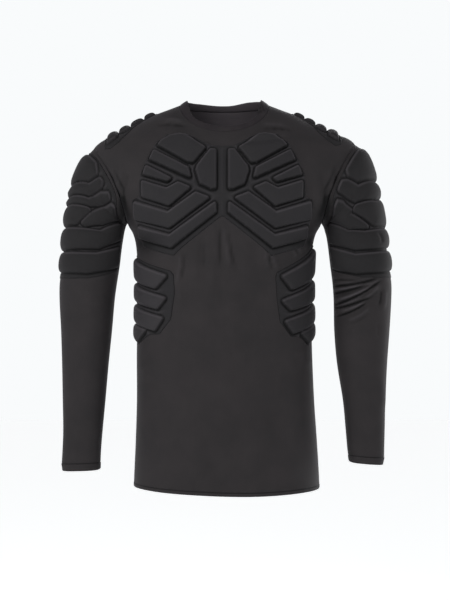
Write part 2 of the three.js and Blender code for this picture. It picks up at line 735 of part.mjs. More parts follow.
pad(
  "chest_pad",
  torsoSurface,
  [...mirrored(chestEdge, 1), ...mirrored(chestEdge.slice(1, -1), -1).reverse()],
  [-1, 1].flatMap((turn) => chestCells.map((cell) => mirrored(cell, turn))),
  { axis: "x", pitch: 24, stretch: 1.6 },
);

// Rib pads: girth from the centre front, past the side seam to the back, and height.
const ribs = {
  right: {
    edge: [
      [98, -300], [208, -270], [240, -268], [296, -292], [299, -330], [290, -372], [262, -416],
      [214, -428], [184, -436], [144, -417], [120, -415], [97, -388], [89, -339], [91, -308],
    ],
    cells: [
      [[104, -309], [128, -332], [212, -313], [240, -313], [286, -326], [291, -302], [240, -276], [210, -278]],
      [[106, -349], [124, -369], [210, -352], [238, -352], [280, -362], [289, -338], [238, -322], [210, -323]],
      [[112, -385], [129, -408], [210, -391], [236, -391], [266, -398], [279, -376], [236, -362], [210, -362]],
      [[150, -407], [180, -430], [214, -421], [252, -412], [262, -398], [214, -398]],
    ],
  },
  left: {
    edge: [
      [94, -303], [208, -250], [240, -252], [296, -280], [299, -330], [290, -372], [262, -412],
      [210, -426], [172, -437], [144, -420], [125, -420], [101, -393], [95, -353], [92, -312],
    ],
    cells: [
      [[103, -310], [124, -334], [210, -306], [240, -306], [286, -318], [291, -292], [240, -262], [210, -260]],
      [[104, -354], [122, -371], [192, -356], [238, -348], [280, -354], [289, -330], [238, -316], [210, -318]],
      [[110, -391], [127, -413], [204, -394], [236, -388], [266, -394], [279, -368], [236, -358], [209, -362]],
      [[145, -413], [170, -432], [214, -418], [252, -408], [262, -396], [210, -396]],
    ],
  },
};
for (const [side, { edge, cells }] of Object.entries(ribs)) {
  const turn = side === "left" ? 1 : -1;
  const placed = (line) => line.map(([u, z]) => [turn * u, z]);
  pad("rib_pad_" + side, torsoSurface, placed(edge), cells.map(placed), {
    axis: "x", pitch: 17, stretch: 2.5,
  });
}

// Upper-arm pads: girth from the sleeve's outer side, the front above 0, and distance down that side.
const armCells = [
  [[0, 20], [66, 14], [79, 23], [10, 70], [-10, 70], [-79, 23], [-66, 14]],
  [[0, 78], [91, 21], [107, 22], [81, 74], [15, 104], [-15, 104], [-81, 74], [-104, 22], [-91, 21]],
  [[0, 112], [85, 84], [62, 142], [0, 156], [-62, 142], [-85, 84]],
  [[72, 136], [104, 84], [136, 22], [150, 62], [126, 108], [98, 144]],
  [[154, 80], [105, 150], [12, 164], [-98, 152], [-128, 108], [-126, 152], [-98, 193], [102, 193], [148, 163]],
  [[149, 188], [99, 204], [0, 210], [-96, 204], [-126, 186], [-124, 222], [-87, 240], [87, 240], [146, 226]],
];
const armEdge = [
  [0, 12], [66, 9], [104, 14], [138, 12], [153, 62], [158, 84], [155, 190], [150, 232], [88, 248],
  [0, 250], [-88, 248], [-130, 228], [-132, 104], [-112, 18], [-66, 9],
];
for (const side of ["left", "right"]) {
  pad("upper_arm_pad_" + side, sleeveSurface[side], armEdge, armCells, {
    axis: "x", pitch: 17.5, stretch: 3,
  });
}

// Shoulder pads: place along X and distance from the crest, the front below 0.
const shoulderRibs = [[141, -2, 74], [161, -4, 78], [181, -20, 78], [202, -34, 72]];
const shoulderEdge = [
  [128, -4], [150, -7], [168, -11], [176, -24], [190, -40], [204, -42], [214, -34], [214, 70],
  [204, 82], [150, 84], [128, 70],
];
for (const side of ["left", "right"]) {
  const turn = side === "left" ? 1 : -1;
  const placed = (line) => line.map(([x, w]) => [turn * x, w]);
  const cells = shoulderRibs.map(([x, from, to]) =>
    placed([[x - 7.5, from], [x + 7.5, from - 4], [x + 7.5, to], [x - 7.5, to]]),
  );
  pad("shoulder_pad_" + side, shoulderSurface, placed(shoulderEdge), cells, {
    axis: "y", pitch: 15, stretch: 0.4,
  });
}


export default shirt;
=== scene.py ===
# Padded long-sleeve sports shirt, filled out as worn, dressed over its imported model.
# Shapes are worked out in millimetres, as on the cutting table, and turned to metres in the meshes.
import math

import bpy
import numpy as np
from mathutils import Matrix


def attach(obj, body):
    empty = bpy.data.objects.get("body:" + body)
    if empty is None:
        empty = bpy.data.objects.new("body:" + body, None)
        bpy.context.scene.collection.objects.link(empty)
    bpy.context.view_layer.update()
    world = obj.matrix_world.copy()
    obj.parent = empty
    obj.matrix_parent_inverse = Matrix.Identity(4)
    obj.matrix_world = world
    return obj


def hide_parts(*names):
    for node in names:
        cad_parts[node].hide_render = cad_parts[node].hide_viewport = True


print("loading the packed model")
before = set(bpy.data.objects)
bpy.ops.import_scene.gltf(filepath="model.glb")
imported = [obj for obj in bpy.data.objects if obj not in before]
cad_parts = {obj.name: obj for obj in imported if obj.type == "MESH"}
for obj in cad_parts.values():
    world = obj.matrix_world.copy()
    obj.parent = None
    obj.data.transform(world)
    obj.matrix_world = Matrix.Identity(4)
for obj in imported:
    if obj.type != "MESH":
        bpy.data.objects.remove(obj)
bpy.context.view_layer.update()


# the cut of the shirt: one horizontal section of the torso for each row
torsoCut = {
    "columns": ["z", "centreX", "half", "frontY", "sideY", "backY", "square"],
    "rows": [
        [-760, 4, 173, -112, 4, 115, 2.3],
        [-690, 4, 172, -112, 4, 114, 2.3],
        [-620, 3.5, 168.5, -110, 3, 112, 2.3],
        [-540, 2, 164.5, -107, 2, 103, 2.3],
        [-450, 0, 162.5, -106, 0, 94, 2.3],
        [-370, 0, 161, -107, 0, 90, 2.35],
        [-300, 0, 161, -110, 0, 93, 2.4],
        [-255, 0, 163.5, -114.5, 0, 98, 2.45],
        [-231, 0, 169, -116, 0, 100, 2.5],
        [-216, 0, 177.5, -117, 1, 101, 2.5],
        [-210, 0, 181, -117.5, 1, 102, 2.55],
        [-200, 0, 193, -118, 2, 103, 2.57],
        [-185, 0, 206, -118, 3, 104, 2.6],
        [-165, 0, 220, -117, 4, 105, 2.6],
        [-140, 0, 233, -113, 5, 105, 2.55],
        [-115, 0, 244, -108, 6, 103, 2.45],
        [-92, 0, 250, -102, 7, 98, 2.3],
        [-72, 0, 243, -95, 7, 93, 2.15],
        [-58, 0, 228, -89, 7, 87, 2.05],
        [-44, 0, 199, -82, 7, 81, 2],
        [-28, 0, 168, -75, 7, 74, 2],
        [-10, 0, 132, -67, 7, 68, 2],
        [-2, 0, 110, -63, 6, 64, 2],
        [7, 0, 86, -58, 6, 60, 2],
        [13, 0, 70, -54, 6, 57, 2],
    ],
    "hemZ": -699,
    "neckCornerZ": 8,
    "neckFrontZ": -50,
    "neckBackZ": 4,
    "armholeTop": (243, -72),
    "armpit": (181, -210),
    "armholeBow": 13,  # how far the seam curves in towards the body
}

# sleeves: one ring for each row, through an inner and an outer point seen from the front
sleeveCut = {
    "columns": ["innerX", "innerZ", "outerX", "outerZ", "frontY", "backY", "square"],
    "right": [
        [181, -210, 243, -72, -58, 60, 2.2],
        [182, -212, 252, -82, -58, 60, 2.2],
        [183, -214, 263, -99, -58, 60, 2.2],
        [184, -217, 273, -121, -58, 60, 2.2],
        [185, -221, 281, -145, -58, 59, 2.2],
        [186.5, -227, 288, -176, -57, 58, 2.2],
        [188, -236, 293, -210, -56, 57, 2.2],
        [191, -256, 297, -246, -56, 55, 2.2],
        [195, -290, 300, -285, -56, 53, 2.2],
        [200, -322, 305.5, -320, -54, 50, 2.2],
        [204, -352, 306, -352, -51, 46, 2.2],
        [209, -410, 303, -410, -48, 39, 2.2],
        [215, -470, 301, -470, -46, 33, 2.2],
        [221, -540, 299.5, -540, -43, 25, 2.2],
        [226, -595, 298.5, -596, -41, 19, 2.3],
        [229, -635, 300, -637, -39, 15, 2.4],
        [230, -666, 302, -668, -38, 13, 2.5],
    ],
    "left": [
        [181, -210, 243, -72, -58, 60, 2.2],
        [182, -212, 254, -80, -58, 60, 2.2],
        [183, -214, 265, -97, -58, 60, 2.2],
        [184.5, -217, 274, -120, -58, 60, 2.2],
        [186, -221, 281, -145, -58, 59, 2.2],
        [187.5, -227, 287.5, -176, -57, 58, 2.2],
        [190, -236, 293.5, -210, -56, 57, 2.2],
        [193, -256, 299, -246, -56, 55, 2.2],
        [197, -290, 303.5, -285, -56, 53, 2.2],
        [201, -322, 309.5, -320, -55, 50, 2.2],
        [203, -352, 309.5, -352, -53, 46, 2.2],
        [204, -410, 306, -410, -50, 39, 2.2],
        [209, -470, 301.5, -470, -47, 33, 2.2],
        [220, -540, 298, -541, -43, 25, 2.2],
        [225, -595, 296.5, -597, -41, 19, 2.3],
        [228, -630, 295.5, -634, -39, 15, 2.4],
        [231, -652, 295.5, -657, -38, 13, 2.5],
    ],
}

# folds of the cloth, seen from the front (face -1) or the back (face 1): a soft trough or ridge from
# x0, z0 to x1, z1 that bows sideways by bow; width is half its breadth, rise its height
clothFolds = {
    "columns": ["face", "x0", "z0", "x1", "z1", "bow", "width", "rise"],
    "rows": [
        # under the point of the chest pad
        [-1, -2, -208, 8, -306, 2, 5.5, 2.6], [-1, -9, -212, -7, -302, 0, 4.5, -2.2],
        [-1, 1, -208, 26, -314, -3, 6, -2.4], [-1, -20, -224, -22, -360, 2, 8, 1.7],
        [-1, -41, -236, -38, -304, 2, 6, -1.5], [-1, 40, -228, 44, -334, -2, 9, 1.5],
        [-1, 59, -246, 64, -334, -3, 7, -1.3], [-1, -56, -252, -52, -330, 3, 7, 1.4],
        # from the corners of the chest pad down beside the rib pads
        [-1, 72, -248, 93, -344, -3, 4.5, 2.6], [-1, 79, -254, 90, -334, -4, 4, -2.0],
        [-1, 81, -258, 99, -306, -2, 4.5, 2.2], [-1, -78, -258, -90, -336, 3, 5, 2.0],
        [-1, -71, -256, -82, -330, 3, 5, -1.5], [-1, -86, -300, -80, -380, 5, 9, 1.6],
        [-1, 14, -330, 20, -420, -4, 12, 1.2], [-1, -40, -350, -34, -450, 4, 14, 1.2],
        [-1, 108, -256, 146, -262, 3, 6, 1.6], [-1, 112, -246, 140, -250, 2, 5, 1.2],
        [-1, 117, -258, 131, -277, 1, 3.6, 1.8], [-1, 127, -254, 140, -272, 1, 3.4, 1.8],
        [-1, 136, -250, 149, -266, 1, 3.4, 1.5], [-1, 136, -436, 148, -482, 4, 12, 2.4],
        [-1, 128, -440, 132, -500, 4, 9, -1.4], [-1, -150, -462, -140, -505, 4, 12, 2.2],
        [-1, -132, -470, -128, -520, 4, 9, -1.2], [-1, -60, -560, -44, -690, 8, 18, 1.8],
        [-1, 70, -548, 62, -692, -8, 18, 1.8], [-1, -110, -600, -104, -694, 4, 16, 1.4],
        [-1, 118, -590, 120, -694, 5, 16, 1.5], [-1, 6, -600, 10, -694, 6, 20, 1.2],
        # across the chest beside the neck
        [-1, -138, -24, -66, -31, 4, 5, 2.4], [-1, -132, -36, -58, -42, 4, 4, -2.2],
        [-1, -120, -52, -76, -50, 2, 5, 1.2], [-1, 24, -62, 128, -50, -3, 5, 2.0],
        [-1, 16, -72, 118, -62, -3, 4, -2.2], [-1, 56, -36, 122, -38, 3, 4.5, 1.8],
        [-1, 62, -45, 132, -46, 3, 3.4, -1.8], [-1, -60, -64, -16, -70, -3, 4.5, -1.4],
        # drawn from the armpits towards the chest
        [-1, -190, -174, -172, -116, -3, 6, -1.6], [-1, -200, -160, -184, -104, -3, 6.5, 1.8],
        [-1, 186, -178, 171, -110, 3, 7, -1.8], [-1, 197, -166, 187, -102, 3, 6.5, 1.9],
        [-1, 175, -190, 157, -132, 3, 7, 1.5], [-1, 207, -150, 201, -98, 3, 5, -1.3],
        [-1, 226, -196, 258, -150, -5, 4, -1.6], [-1, 214, -186, 232, -140, -4, 4.5, 1.4],
        [-1, -214, -190, -226, -142, 4, 4.5, 1.4],
        # armpits
        [-1, -172, -232, -150, -262, 5, 7, -2.2], [-1, 172, -232, 152, -258, -5, 7, -2.2],
        [1, -172, -230, -146, -266, 5, 8, -2.0], [1, 172, -230, 146, -266, -5, 8, -2.0],
        [1, -200, -150, -150, -196, -8, 10, 2.4], [1, 200, -150, 150, -196, 8, 10, 2.4],
        [1, -206, -176, -160, -216, -6, 8, -1.6], [1, 206, -176, 160, -216, 6, 8, -1.6],
        # hollow of the back
        [1, 0, -236, 4, -330, 2, 13, -2.6], [1, -34, -250, -22, -346, 5, 12, 2.4],
        [1, 38, -262, 26, -352, -5, 12, 2.4], [1, -92, -330, 70, -352, 10, 13, 2.4],
        [1, -74, -372, 98, -388, 10, 13, 2.2], [1, -60, -351, 84, -369, 10, 8, -1.4],
        [1, -86, -402, 60, -418, 8, 11, 1.6], [1, -56, -556, -44, -690, 8, 18, 1.8],
        [1, 66, -548, 54, -692, -8, 18, 1.8], [1, 6, -590, 2, -694, 5, 18, 1.2],
        # inside of the elbow, wearer's left: a fan of folds under the pad
        [-1, 184, -316, 250, -319, 1, 2.0, -1.8], [-1, 180, -328, 293, -309, -5.5, 2.2, -3.2],
        [-1, 186, -345, 264, -323, -1.5, 2.2, -3.4], [-1, 182, -369, 296, -310, -6.3, 2.3, -3.8],
        [-1, 180, -373, 276, -345, -3, 2.2, -3.4], [-1, 192, -386, 268, -350, -6, 2.3, -2.4],
        [-1, 186, -335, 290, -313, -5, 3.0, 1.8], [-1, 190, -356, 284, -321, -4, 4.2, 3.2],
        [-1, 286, -322, 252, -350, 3, 3.6, 2.2], [-1, 208, -374, 262, -352, -4, 3.0, 1.4],
        [-1, 214, -392, 272, -358, -7, 5.0, 2.6], [-1, 286, -330, 281, -368, 3, 4, -1.8],
        [-1, 292, -330, 288, -376, 3, 4, 1.6], [-1, 279, -392, 281, -424, 2, 5, -1.2],
        [-1, 222, -410, 270, -384, -4, 7, 1.6], [-1, 226, -432, 268, -414, -4, 8, 1.0],
        [-1, 274, -228, 283, -252, 3, 2.4, -1.8], [1, 204, -334, 276, -324, -4, 5, 3.0],
        [1, 204, -352, 284, -342, -4, 5, 3.2], [1, 206, -372, 276, -358, -4, 6, 2.6],
        [1, 214, -394, 268, -380, -4, 7, 1.8],
        # inside of the elbow, wearer's right
        [-1, -206, -338, -270, -332, 4, 7, 1.6], [-1, -206, -360, -262, -348, 4, 7, 1.5],
        [-1, -210, -384, -256, -374, 4, 8, 1.2], [1, -206, -342, -276, -334, 4, 7, 2.2],
        [1, -208, -364, -280, -348, 4, 7, 2.2],
        # forearms and cuffs
        [-1, 284, -486, 292, -560, 3, 8, 1.4], [-1, 226, -600, 262, -622, -5, 7, 1.2],
        [-1, -226, -596, -262, -616, 5, 7, 1.2], [1, 236, -470, 250, -560, 4, 10, 1.5],
        [1, -236, -470, -250, -560, -4, 10, 1.5],
    ],
}


def rowsOf(table, rows):
    values = np.array(table["rows"] if rows is None else table[rows], float)
    return {name: values[:, i] for i, name in enumerate(table["columns"])}


def curveThrough(table, key, at):
    order = np.argsort(table[key])
    keys = table[key][order]
    at = np.clip(np.asarray(at, float), keys[0], keys[-1])
    last = len(keys) - 1
    i = np.clip(np.searchsorted(keys, at, side="left") - 1, 0, last - 1)
    before, after = np.maximum(i - 1, 0), np.minimum(i + 2, last)
    span = keys[i + 1] - keys[i]
    s = (at - keys[i]) / span
    out = {}
    for name, column in table.items():
        v = column[order]
        slopeA = (v[i + 1] - v[before]) / (keys[i + 1] - keys[before])
        slopeB = (v[after] - v[i]) / (keys[after] - keys[i])
        out[name] = (
            v[i] * (2 * s**3 - 3 * s**2 + 1)
            + v[i + 1] * (3 * s**2 - 2 * s**3)
            + span * (slopeA * (s**3 - 2 * s**2 + s) + slopeB * (s**3 - s**2))
        )
    return out


def power(value, exponent):
    return np.sign(value) * np.abs(value) ** exponent


def mix(a, b, t):
    return a + (b - a) * t


def ease(t):
    s = np.clip(t, 0, 1)
    return s * s * (3 - 2 * s)


def bell(distance, width):
    return np.exp(-((distance / width) ** 2))


def unit(vectors):
    return vectors / np.linalg.norm(vectors, axis=-1, keepdims=True)


def squareTo(vectors, tangent):
    return unit(vectors - tangent * np.sum(vectors * tangent, axis=1, keepdims=True))


def lengthAlong(points):
    return np.concatenate([[0], np.cumsum(np.linalg.norm(np.diff(points, axis=0), axis=1))])


def placed(points, length, at):
    return np.stack([np.interp(at, length, column) for column in points.T], -1)


def between(table, i, j, s, r):
    # a value inside one square of a table, mixed from its four corners
    return mix(mix(table[i, j], table[i, j + 1], r), mix(table[i + 1, j], table[i + 1, j + 1], r), s)


# the torso's sections, sampled every 1.5 mm of height, each at even steps of its half girth
torsoTable = rowsOf(torsoCut, None)
levelZ = np.arange(-760.0, 13.1, 1.5)
stepsRound = 420


def sampleSections():
    row = curveThrough(torsoTable, "z", levelZ)
    xs, ys, totals, sides = [], [], [], []
    angle = math.pi * (0.5 - np.arange(481) / 480)
    for k in range(len(levelZ)):
        n = row["square"][k]
        x = row["half"][k] * np.abs(np.cos(angle)) ** (2 / n)
        x[0] = x[-1] = 0
        out = power(np.sin(angle), 2 / n)
        y = row["sideY"][k] + np.abs(out) * (
            np.where(out > 0, row["frontY"][k], row["backY"][k]) - row["sideY"][k]
        )
        length = np.concatenate([[0], np.cumsum(np.hypot(np.diff(x), np.diff(y)))])
        even = np.linspace(0, length[-1], stepsRound)
        xs.append(np.interp(even, length, x))
        ys.append(np.interp(even, length, y))
        totals.append(length[-1])
        sides.append(length[240])
    return np.array(xs), np.array(ys), np.array(totals), np.array(sides), row["centreX"]


sectionX, sectionY, sectionTotal, sectionSide, sectionCentre = sampleSections()


def halfGirth(z):
    return np.interp(z, levelZ, sectionTotal)


def sideGirth(z):
    return np.interp(z, levelZ, sectionSide)


def torsoPoint(u, z):
    u, z = np.broadcast_arrays(np.asarray(u, float), np.asarray(z, float))
    f = np.clip((z - levelZ[0]) / 1.5, 0, len(levelZ) - 1.001)
    i = f.astype(int)
    s = f - i
    total = mix(sectionTotal[i], sectionTotal[i + 1], s)
    turn, along = np.where(u < 0, -1.0, 1.0), np.abs(u)
    over = along > total
    along, turn = np.where(over, 2 * total - along, along), np.where(over, -turn, turn)
    g = np.clip(along / total, 0, 1) * (stepsRound - 1.001)
    j = g.astype(int)
    r = g - j
    centre = mix(sectionCentre[i], sectionCentre[i + 1], s)
    x, y = (between(table, i, j, s, r) for table in (sectionX, sectionY))
    return np.stack([centre + turn * x, y, z], -1)


def depthAt(row, x, face):
    # how far forward or back the torso's outline lies at x, in the section of a row
    share = np.clip(x / row["half"], 0, 1)
    reach = (1 - share ** row["square"]) ** (1 / row["square"])
    return row["sideY"] + reach * (np.where(face < 0, row["frontY"], row["backY"]) - row["sideY"])


# where the armhole seam stands at a height, and how far a point is from it
topX, topZ = torsoCut["armholeTop"]
pitX, pitZ = torsoCut["armpit"]


def armholeBow(t):
    return torsoCut["armholeBow"] * 4 * t * (1 - t) * np.where((t > 0) & (t < 1), 1, 0)


def armholeX(z):
    t = (z - pitZ) / (topZ - pitZ)
    return mix(pitX, topX, t) - armholeBow(t)


def armholeY(z, face):
    return depthAt(curveThrough(torsoTable, "z", z), armholeX(z), face)


def armholeDistance(point):
    tilt = math.hypot(topX - pitX, topZ - pitZ)
    return (armholeX(point[..., 2]) - np.abs(point[..., 0])) * (topZ - pitZ) / tilt


# sleeves, sampled every 2 mm down their outer side
def sampleSleeve(side):
    table = rowsOf(sleeveCut, side)
    step = np.hypot(np.diff(table["outerX"]), np.diff(table["outerZ"]))
    table["along"] = np.concatenate([[0], np.cumsum(step)])
    levels = np.arange(0, table["along"][-1] + 1.9, 2.0)
    levels[-1] = table["along"][-1]
    row = curveThrough(table, "along", levels)
    turn = 1 if side == "left" else -1
    angle = 2 * math.pi * np.arange(361) / 360
    rings, totals = [], []
    for k, along in enumerate(levels):
        n = row["square"][k]
        c, s = power(np.cos(angle), 2 / n), power(np.sin(angle), 2 / n)
        face = np.where(s >= 0, -1, 1)
        own = mix(
            (row["frontY"][k] + row["backY"][k]) / 2,
            np.where(face < 0, row["frontY"][k], row["backY"][k]),
            np.abs(s),
        )
        fromArmhole = 1 - ease(along / 70)
        y = mix(own, armholeY(mix(pitZ, topZ, (c + 1) / 2), face), fromArmhole)
        x = mix(row["innerX"][k], row["outerX"][k], (c + 1) / 2)
        x = turn * (x - armholeBow((c + 1) / 2) * fromArmhole)
        z = mix(row["innerZ"][k], row["outerZ"][k], (c + 1) / 2)
        points = np.stack([x, y, z], -1)
        length = lengthAlong(points)
        rings.append(placed(points, length, np.linspace(0, length[-1], stepsRound)))
        totals.append(length[-1])
    return {"levels": levels, "rings": np.array(rings), "totals": np.array(totals), "table": table}


sleeveSamples = {side: sampleSleeve(side) for side in ("left", "right")}


def sleeveGirth(side, along):
    return np.interp(along, sleeveSamples[side]["levels"], sleeveSamples[side]["totals"])


def sleevePoint(side, a, along):
    sample = sleeveSamples[side]
    a, along = np.broadcast_arrays(np.asarray(a, float), np.asarray(along, float))
    f = np.interp(along, sample["levels"], np.arange(len(sample["levels"])))
    f = np.clip(f, 0, len(sample["levels"]) - 1.001)
    i = f.astype(int)
    s = (f - i)[..., None]
    g = np.mod(a / sleeveGirth(side, along), 1) * (stepsRound - 1)
    j = np.minimum(g.astype(int), stepsRound - 2)
    r = (g - j)[..., None]
    return between(sample["rings"], i, j, s, r)


def sleeveSurface(side):
    return lambda a, along: sleevePoint(side, a, along)


# over the shoulder: x is the place along the crest, w the distance from it, below 0 towards the front
crestX = np.arange(112.0, 232.1, 2.0)
crestW = np.arange(0.0, 131.0, 1.0)


def sampleShoulder():
    out = {-1: [], 1: []}
    heights = np.linspace(-92, 8, 2001)
    half = curveThrough(torsoTable, "z", heights)["half"]
    for x in crestX:
        crest = heights[np.nonzero(half > x)[0][-1]]
        for face in (-1, 1):
            z = crest - 170 * np.linspace(0, 1, 200) ** 2
            row = curveThrough(torsoTable, "z", z)
            y = depthAt(row, x, face)
            y[0] = row["sideY"][0]
            length = np.concatenate([[0], np.cumsum(np.hypot(np.diff(y), np.diff(z)))])
            out[face].append(
                np.stack([np.interp(crestW, length, y), np.interp(crestW, length, z)], -1)
            )
    return {face: np.array(rows) for face, rows in out.items()}


shoulderSamples = sampleShoulder()


def shoulderPoint(x, w):
    x, w = np.broadcast_arrays(np.asarray(x, float), np.asarray(w, float))
    f = np.clip((np.abs(x) - crestX[0]) / 2, 0, len(crestX) - 1.001)
    g = np.clip(np.abs(w), 0, crestW[-1] - 0.001)
    i, j = f.astype(int), g.astype(int)
    s, r = (f - i)[..., None], (g - j)[..., None]
    front, back = (between(shoulderSamples[face], i, j, s, r) for face in (-1, 1))
    return np.concatenate([x[..., None], np.where((w < 0)[..., None], front, back)], -1)


def foldRise(point, normal):
    rise = np.zeros(point.shape[:-1])
    for face, x0, z0, x1, z1, bow, width, height in clothFolds["rows"]:
        facing = ease((normal[..., 1] * face + 0.02) / 0.4)
        dx, dz = x1 - x0, z1 - z0
        length = math.hypot(dx, dz)
        along = ((point[..., 0] - x0) * dx + (point[..., 2] - z0) * dz) / length
        off = ((point[..., 2] - z0) * dx - (point[..., 0] - x0) * dz) / length
        t = np.clip(along / length, 0, 1)
        off = off - bow * 4 * t * (1 - t)
        # a fold is sharpest at its middle and opens out to its ends
        spread = width * (1.35 - 0.7 * 4 * t * (1 - t) * 0.5)
        taper = ease(along / (0.32 * length)) * ease((length - along) / (0.32 * length))
        rise += facing * taper * height * bell(off, spread)
    return rise


def placeAndNormal(surface, turn, u, v):
    step = 1.5
    point = surface(u, v)
    across = surface(u + step, v) - surface(u - step, v)
    along = surface(u, v + step) - surface(u, v - step)
    normal = np.cross(across, along) * turn
    return point, normal / np.maximum(np.linalg.norm(normal, axis=-1, keepdims=True), 1e-9)


raisedShoulder = {"x": 246, "halfWidth": 36, "by": 7.5, "from": -160, "to": -88}


def lifted(surface, turn, u, v, offset):
    point, normal = placeAndNormal(surface, turn, u, v)
    rise = np.asarray(offset, float) + foldRise(point, normal)
    point = point + normal * np.broadcast_to(rise, point.shape[:-1])[..., None]
    # the wearer's left shoulder is held a little higher than the right
    across = bell(point[..., 0] - raisedShoulder["x"], raisedShoulder["halfWidth"])
    span = raisedShoulder["to"] - raisedShoulder["from"]
    high = ease((point[..., 2] - raisedShoulder["from"]) / span)
    point[..., 2] += raisedShoulder["by"] * across * high
    return point


def foldHollow(surface, turn, u, v, reach=5):
    # above 0 in the valleys between folds, below 0 along their crests
    point, normal = placeAndNormal(surface, turn, u, v)
    beside = [foldRise(point + np.array(step), normal)
              for step in ((reach, 0, 0), (-reach, 0, 0), (0, 0, reach), (0, 0, -reach))]
    return sum(beside) / 4 - foldRise(point, normal)


# a flat seam pulls a fine groove in the cloth, with a soft roll beside it
def seamRise(distance):
    d = np.abs(distance)
    return (
        -0.9 * bell(d, 1.2)
        + 0.4 * bell(d - 3.4, 1.5)
        - 0.25 * bell(d - 6.6, 1.1)
    )


def spot(point, x, z, halfX, halfZ):
    return np.exp(-(((point[..., 0] - x) / halfX) ** 2) - ((point[..., 2] - z) / halfZ) ** 2)


def pitShade(point):
    # the folded-in cloth of the armpit, a wedge that narrows upwards, gets hardly any light
    up = np.clip((point[..., 2] - pitZ + 2) / 52, 0, 1)
    away = (np.abs(point[..., 0]) - mix(pitX - 3, pitX + 5, up)) / mix(14, 3, up)
    wedge = np.exp(-(away**2)) * (1 - ease((up - 0.75) / 0.25)) * ease((point[..., 2] - pitZ + 12) / 12)
    # nor do the hollows between the pads below it
    hollows = 0.8 * spot(point, -145, -250, 27, 18) + 0.85 * spot(point, 158, -244, 8, 22)
    hollows += 0.4 * spot(point, 130, -247, 20, 10)
    # the cloth round the armpits and the creased inside of the wearer's left elbow
    hollows += 0.35 * spot(point, 190, -178, 15, 34) + 0.35 * spot(point, -190, -178, 15, 34)
    return 1.2 * wedge + hollows + 0.4 * spot(point, 214, -346, 46, 34)


def addShade(piece, name, values):
    layer = piece.data.attributes.new(name, "FLOAT", "POINT")
    layer.data.foreach_set("value", np.asarray(values, np.float32).ravel())


def shadeCloth(piece, shade, hollow):
    # outer side first, then the inner side, which is the paler back of the knit and also painted light
    # on the shaded inside; painted shade fills the valleys of folds, and a painted highlight their
    # crests
    plain = np.zeros(shade.size)
    shade = np.clip(shade + np.clip((hollow - 0.25) * 0.75, 0, 0.85), 0, 1)
    addShade(piece, "channel", np.concatenate([shade.ravel(), plain]))
    addShade(piece, "paintedHighlight", np.concatenate([np.clip(-(hollow + 0.3) * 0.5, 0, 1).ravel(), plain]))
    addShade(piece, "inside", np.concatenate([plain, plain + 1]))


def makeMesh(name, points, faces, uvs=None):
    mesh = bpy.data.meshes.new(name)
    mesh.from_pydata((np.asarray(points) / 1000).tolist(), [], np.asarray(faces).tolist())
    if uvs is not None:
        layer = mesh.uv_layers.new(name="cut")
        corner = np.zeros(len(mesh.loops), np.int32)
        mesh.loops.foreach_get("vertex_index", corner)
        layer.data.foreach_set("uv", (np.asarray(uvs, np.float32)[corner] / 1000).ravel())
    mesh.update()
    piece = bpy.data.objects.new(name, mesh)
    bpy.context.scene.collection.objects.link(piece)
    mesh.polygons.foreach_set("use_smooth", np.ones(len(mesh.polygons), bool))
    return piece


def gridFaces(rows, columns, offset=0, flip=False, closed=False):
    across = np.arange(columns if closed else columns - 1)
    i, j = np.meshgrid(np.arange(rows - 1) * columns, across, indexing="ij")
    k = (j + 1) % columns
    quad = np.stack([i + j, i + k, i + columns + k, i + columns + j], -1).reshape(-1, 4) + offset
    return quad[:, ::-1] if flip else quad


def doubleSheet(name, outer, inner, uv, closed=False, flip=False):
    rows, columns = outer.shape[:2]
    count = rows * columns
    faces = [gridFaces(rows, columns, 0, flip, closed),
             gridFaces(rows, columns, count, not flip, closed)]
    at = np.arange(count).reshape(rows, columns)

    def edge(line, turned):
        a, b = line[:-1], line[1:]
        quad = np.stack([a, b, b + count, a + count], -1)
        return quad[:, ::-1] if turned else quad

    first = np.append(at[0], at[0][:1]) if closed else at[0]
    last = np.append(at[-1], at[-1][:1]) if closed else at[-1]
    faces += [edge(first, not flip), edge(last, flip)]
    if not closed:
        faces += [edge(at[:, 0], flip), edge(at[:, -1], not flip)]
    points = np.concatenate([outer.reshape(-1, 3), inner.reshape(-1, 3)])
    uvs = np.concatenate([uv.reshape(-1, 2)] * 2)
    return makeMesh(name, points, np.concatenate(faces), uvs)


clothThickness = 1.0


def clothSheet(name, surface, turn, u, v, rise, uv, **how):
    # the inner side follows the outer one less sharply
    outer = lifted(surface, turn, u, v, rise)
    inner = lifted(surface, turn, u, v, rise * 0.4 - clothThickness)
    return doubleSheet(name, outer, inner, uv, **how)


# body panels: rows run up the side seam, the armhole and the shoulder seam
def distanceToX(x, z, face):
    y = depthAt(curveThrough(torsoTable, "z", z), x, face)
    # girth of the same place, found among the section's samples
    result = np.empty(np.shape(z))
    for k in np.ndindex(np.shape(z)):
        level = int(round((z[k] - levelZ[0]) / 1.5))
        level = min(max(level, 0), len(levelZ) - 1)
        total = sectionTotal[level]
        even = np.linspace(0, total, stepsRound)
        side = sectionSide[level]
        near = even <= side if face < 0 else even >= side
        gap = np.hypot(sectionX[level] - x[k], sectionY[level] - y[k])
        gap = np.where(near, gap, 1e9)
        best = int(np.argmin(gap))
        low, high = max(best - 1, 0), min(best + 1, stepsRound - 1)
        a = np.array([sectionX[level][low], sectionY[level][low]])
        b = np.array([sectionX[level][high], sectionY[level][high]])
        t = np.clip(np.dot([x[k] - a[0], y[k] - a[1]], b - a) / max(np.dot(b - a, b - a), 1e-9), 0, 1)
        length = mix(even[low], even[high], t)
        result[k] = length if face < 0 else total - length
    return result


panelCut = {"rowStep": 4.0, "columns": 52}

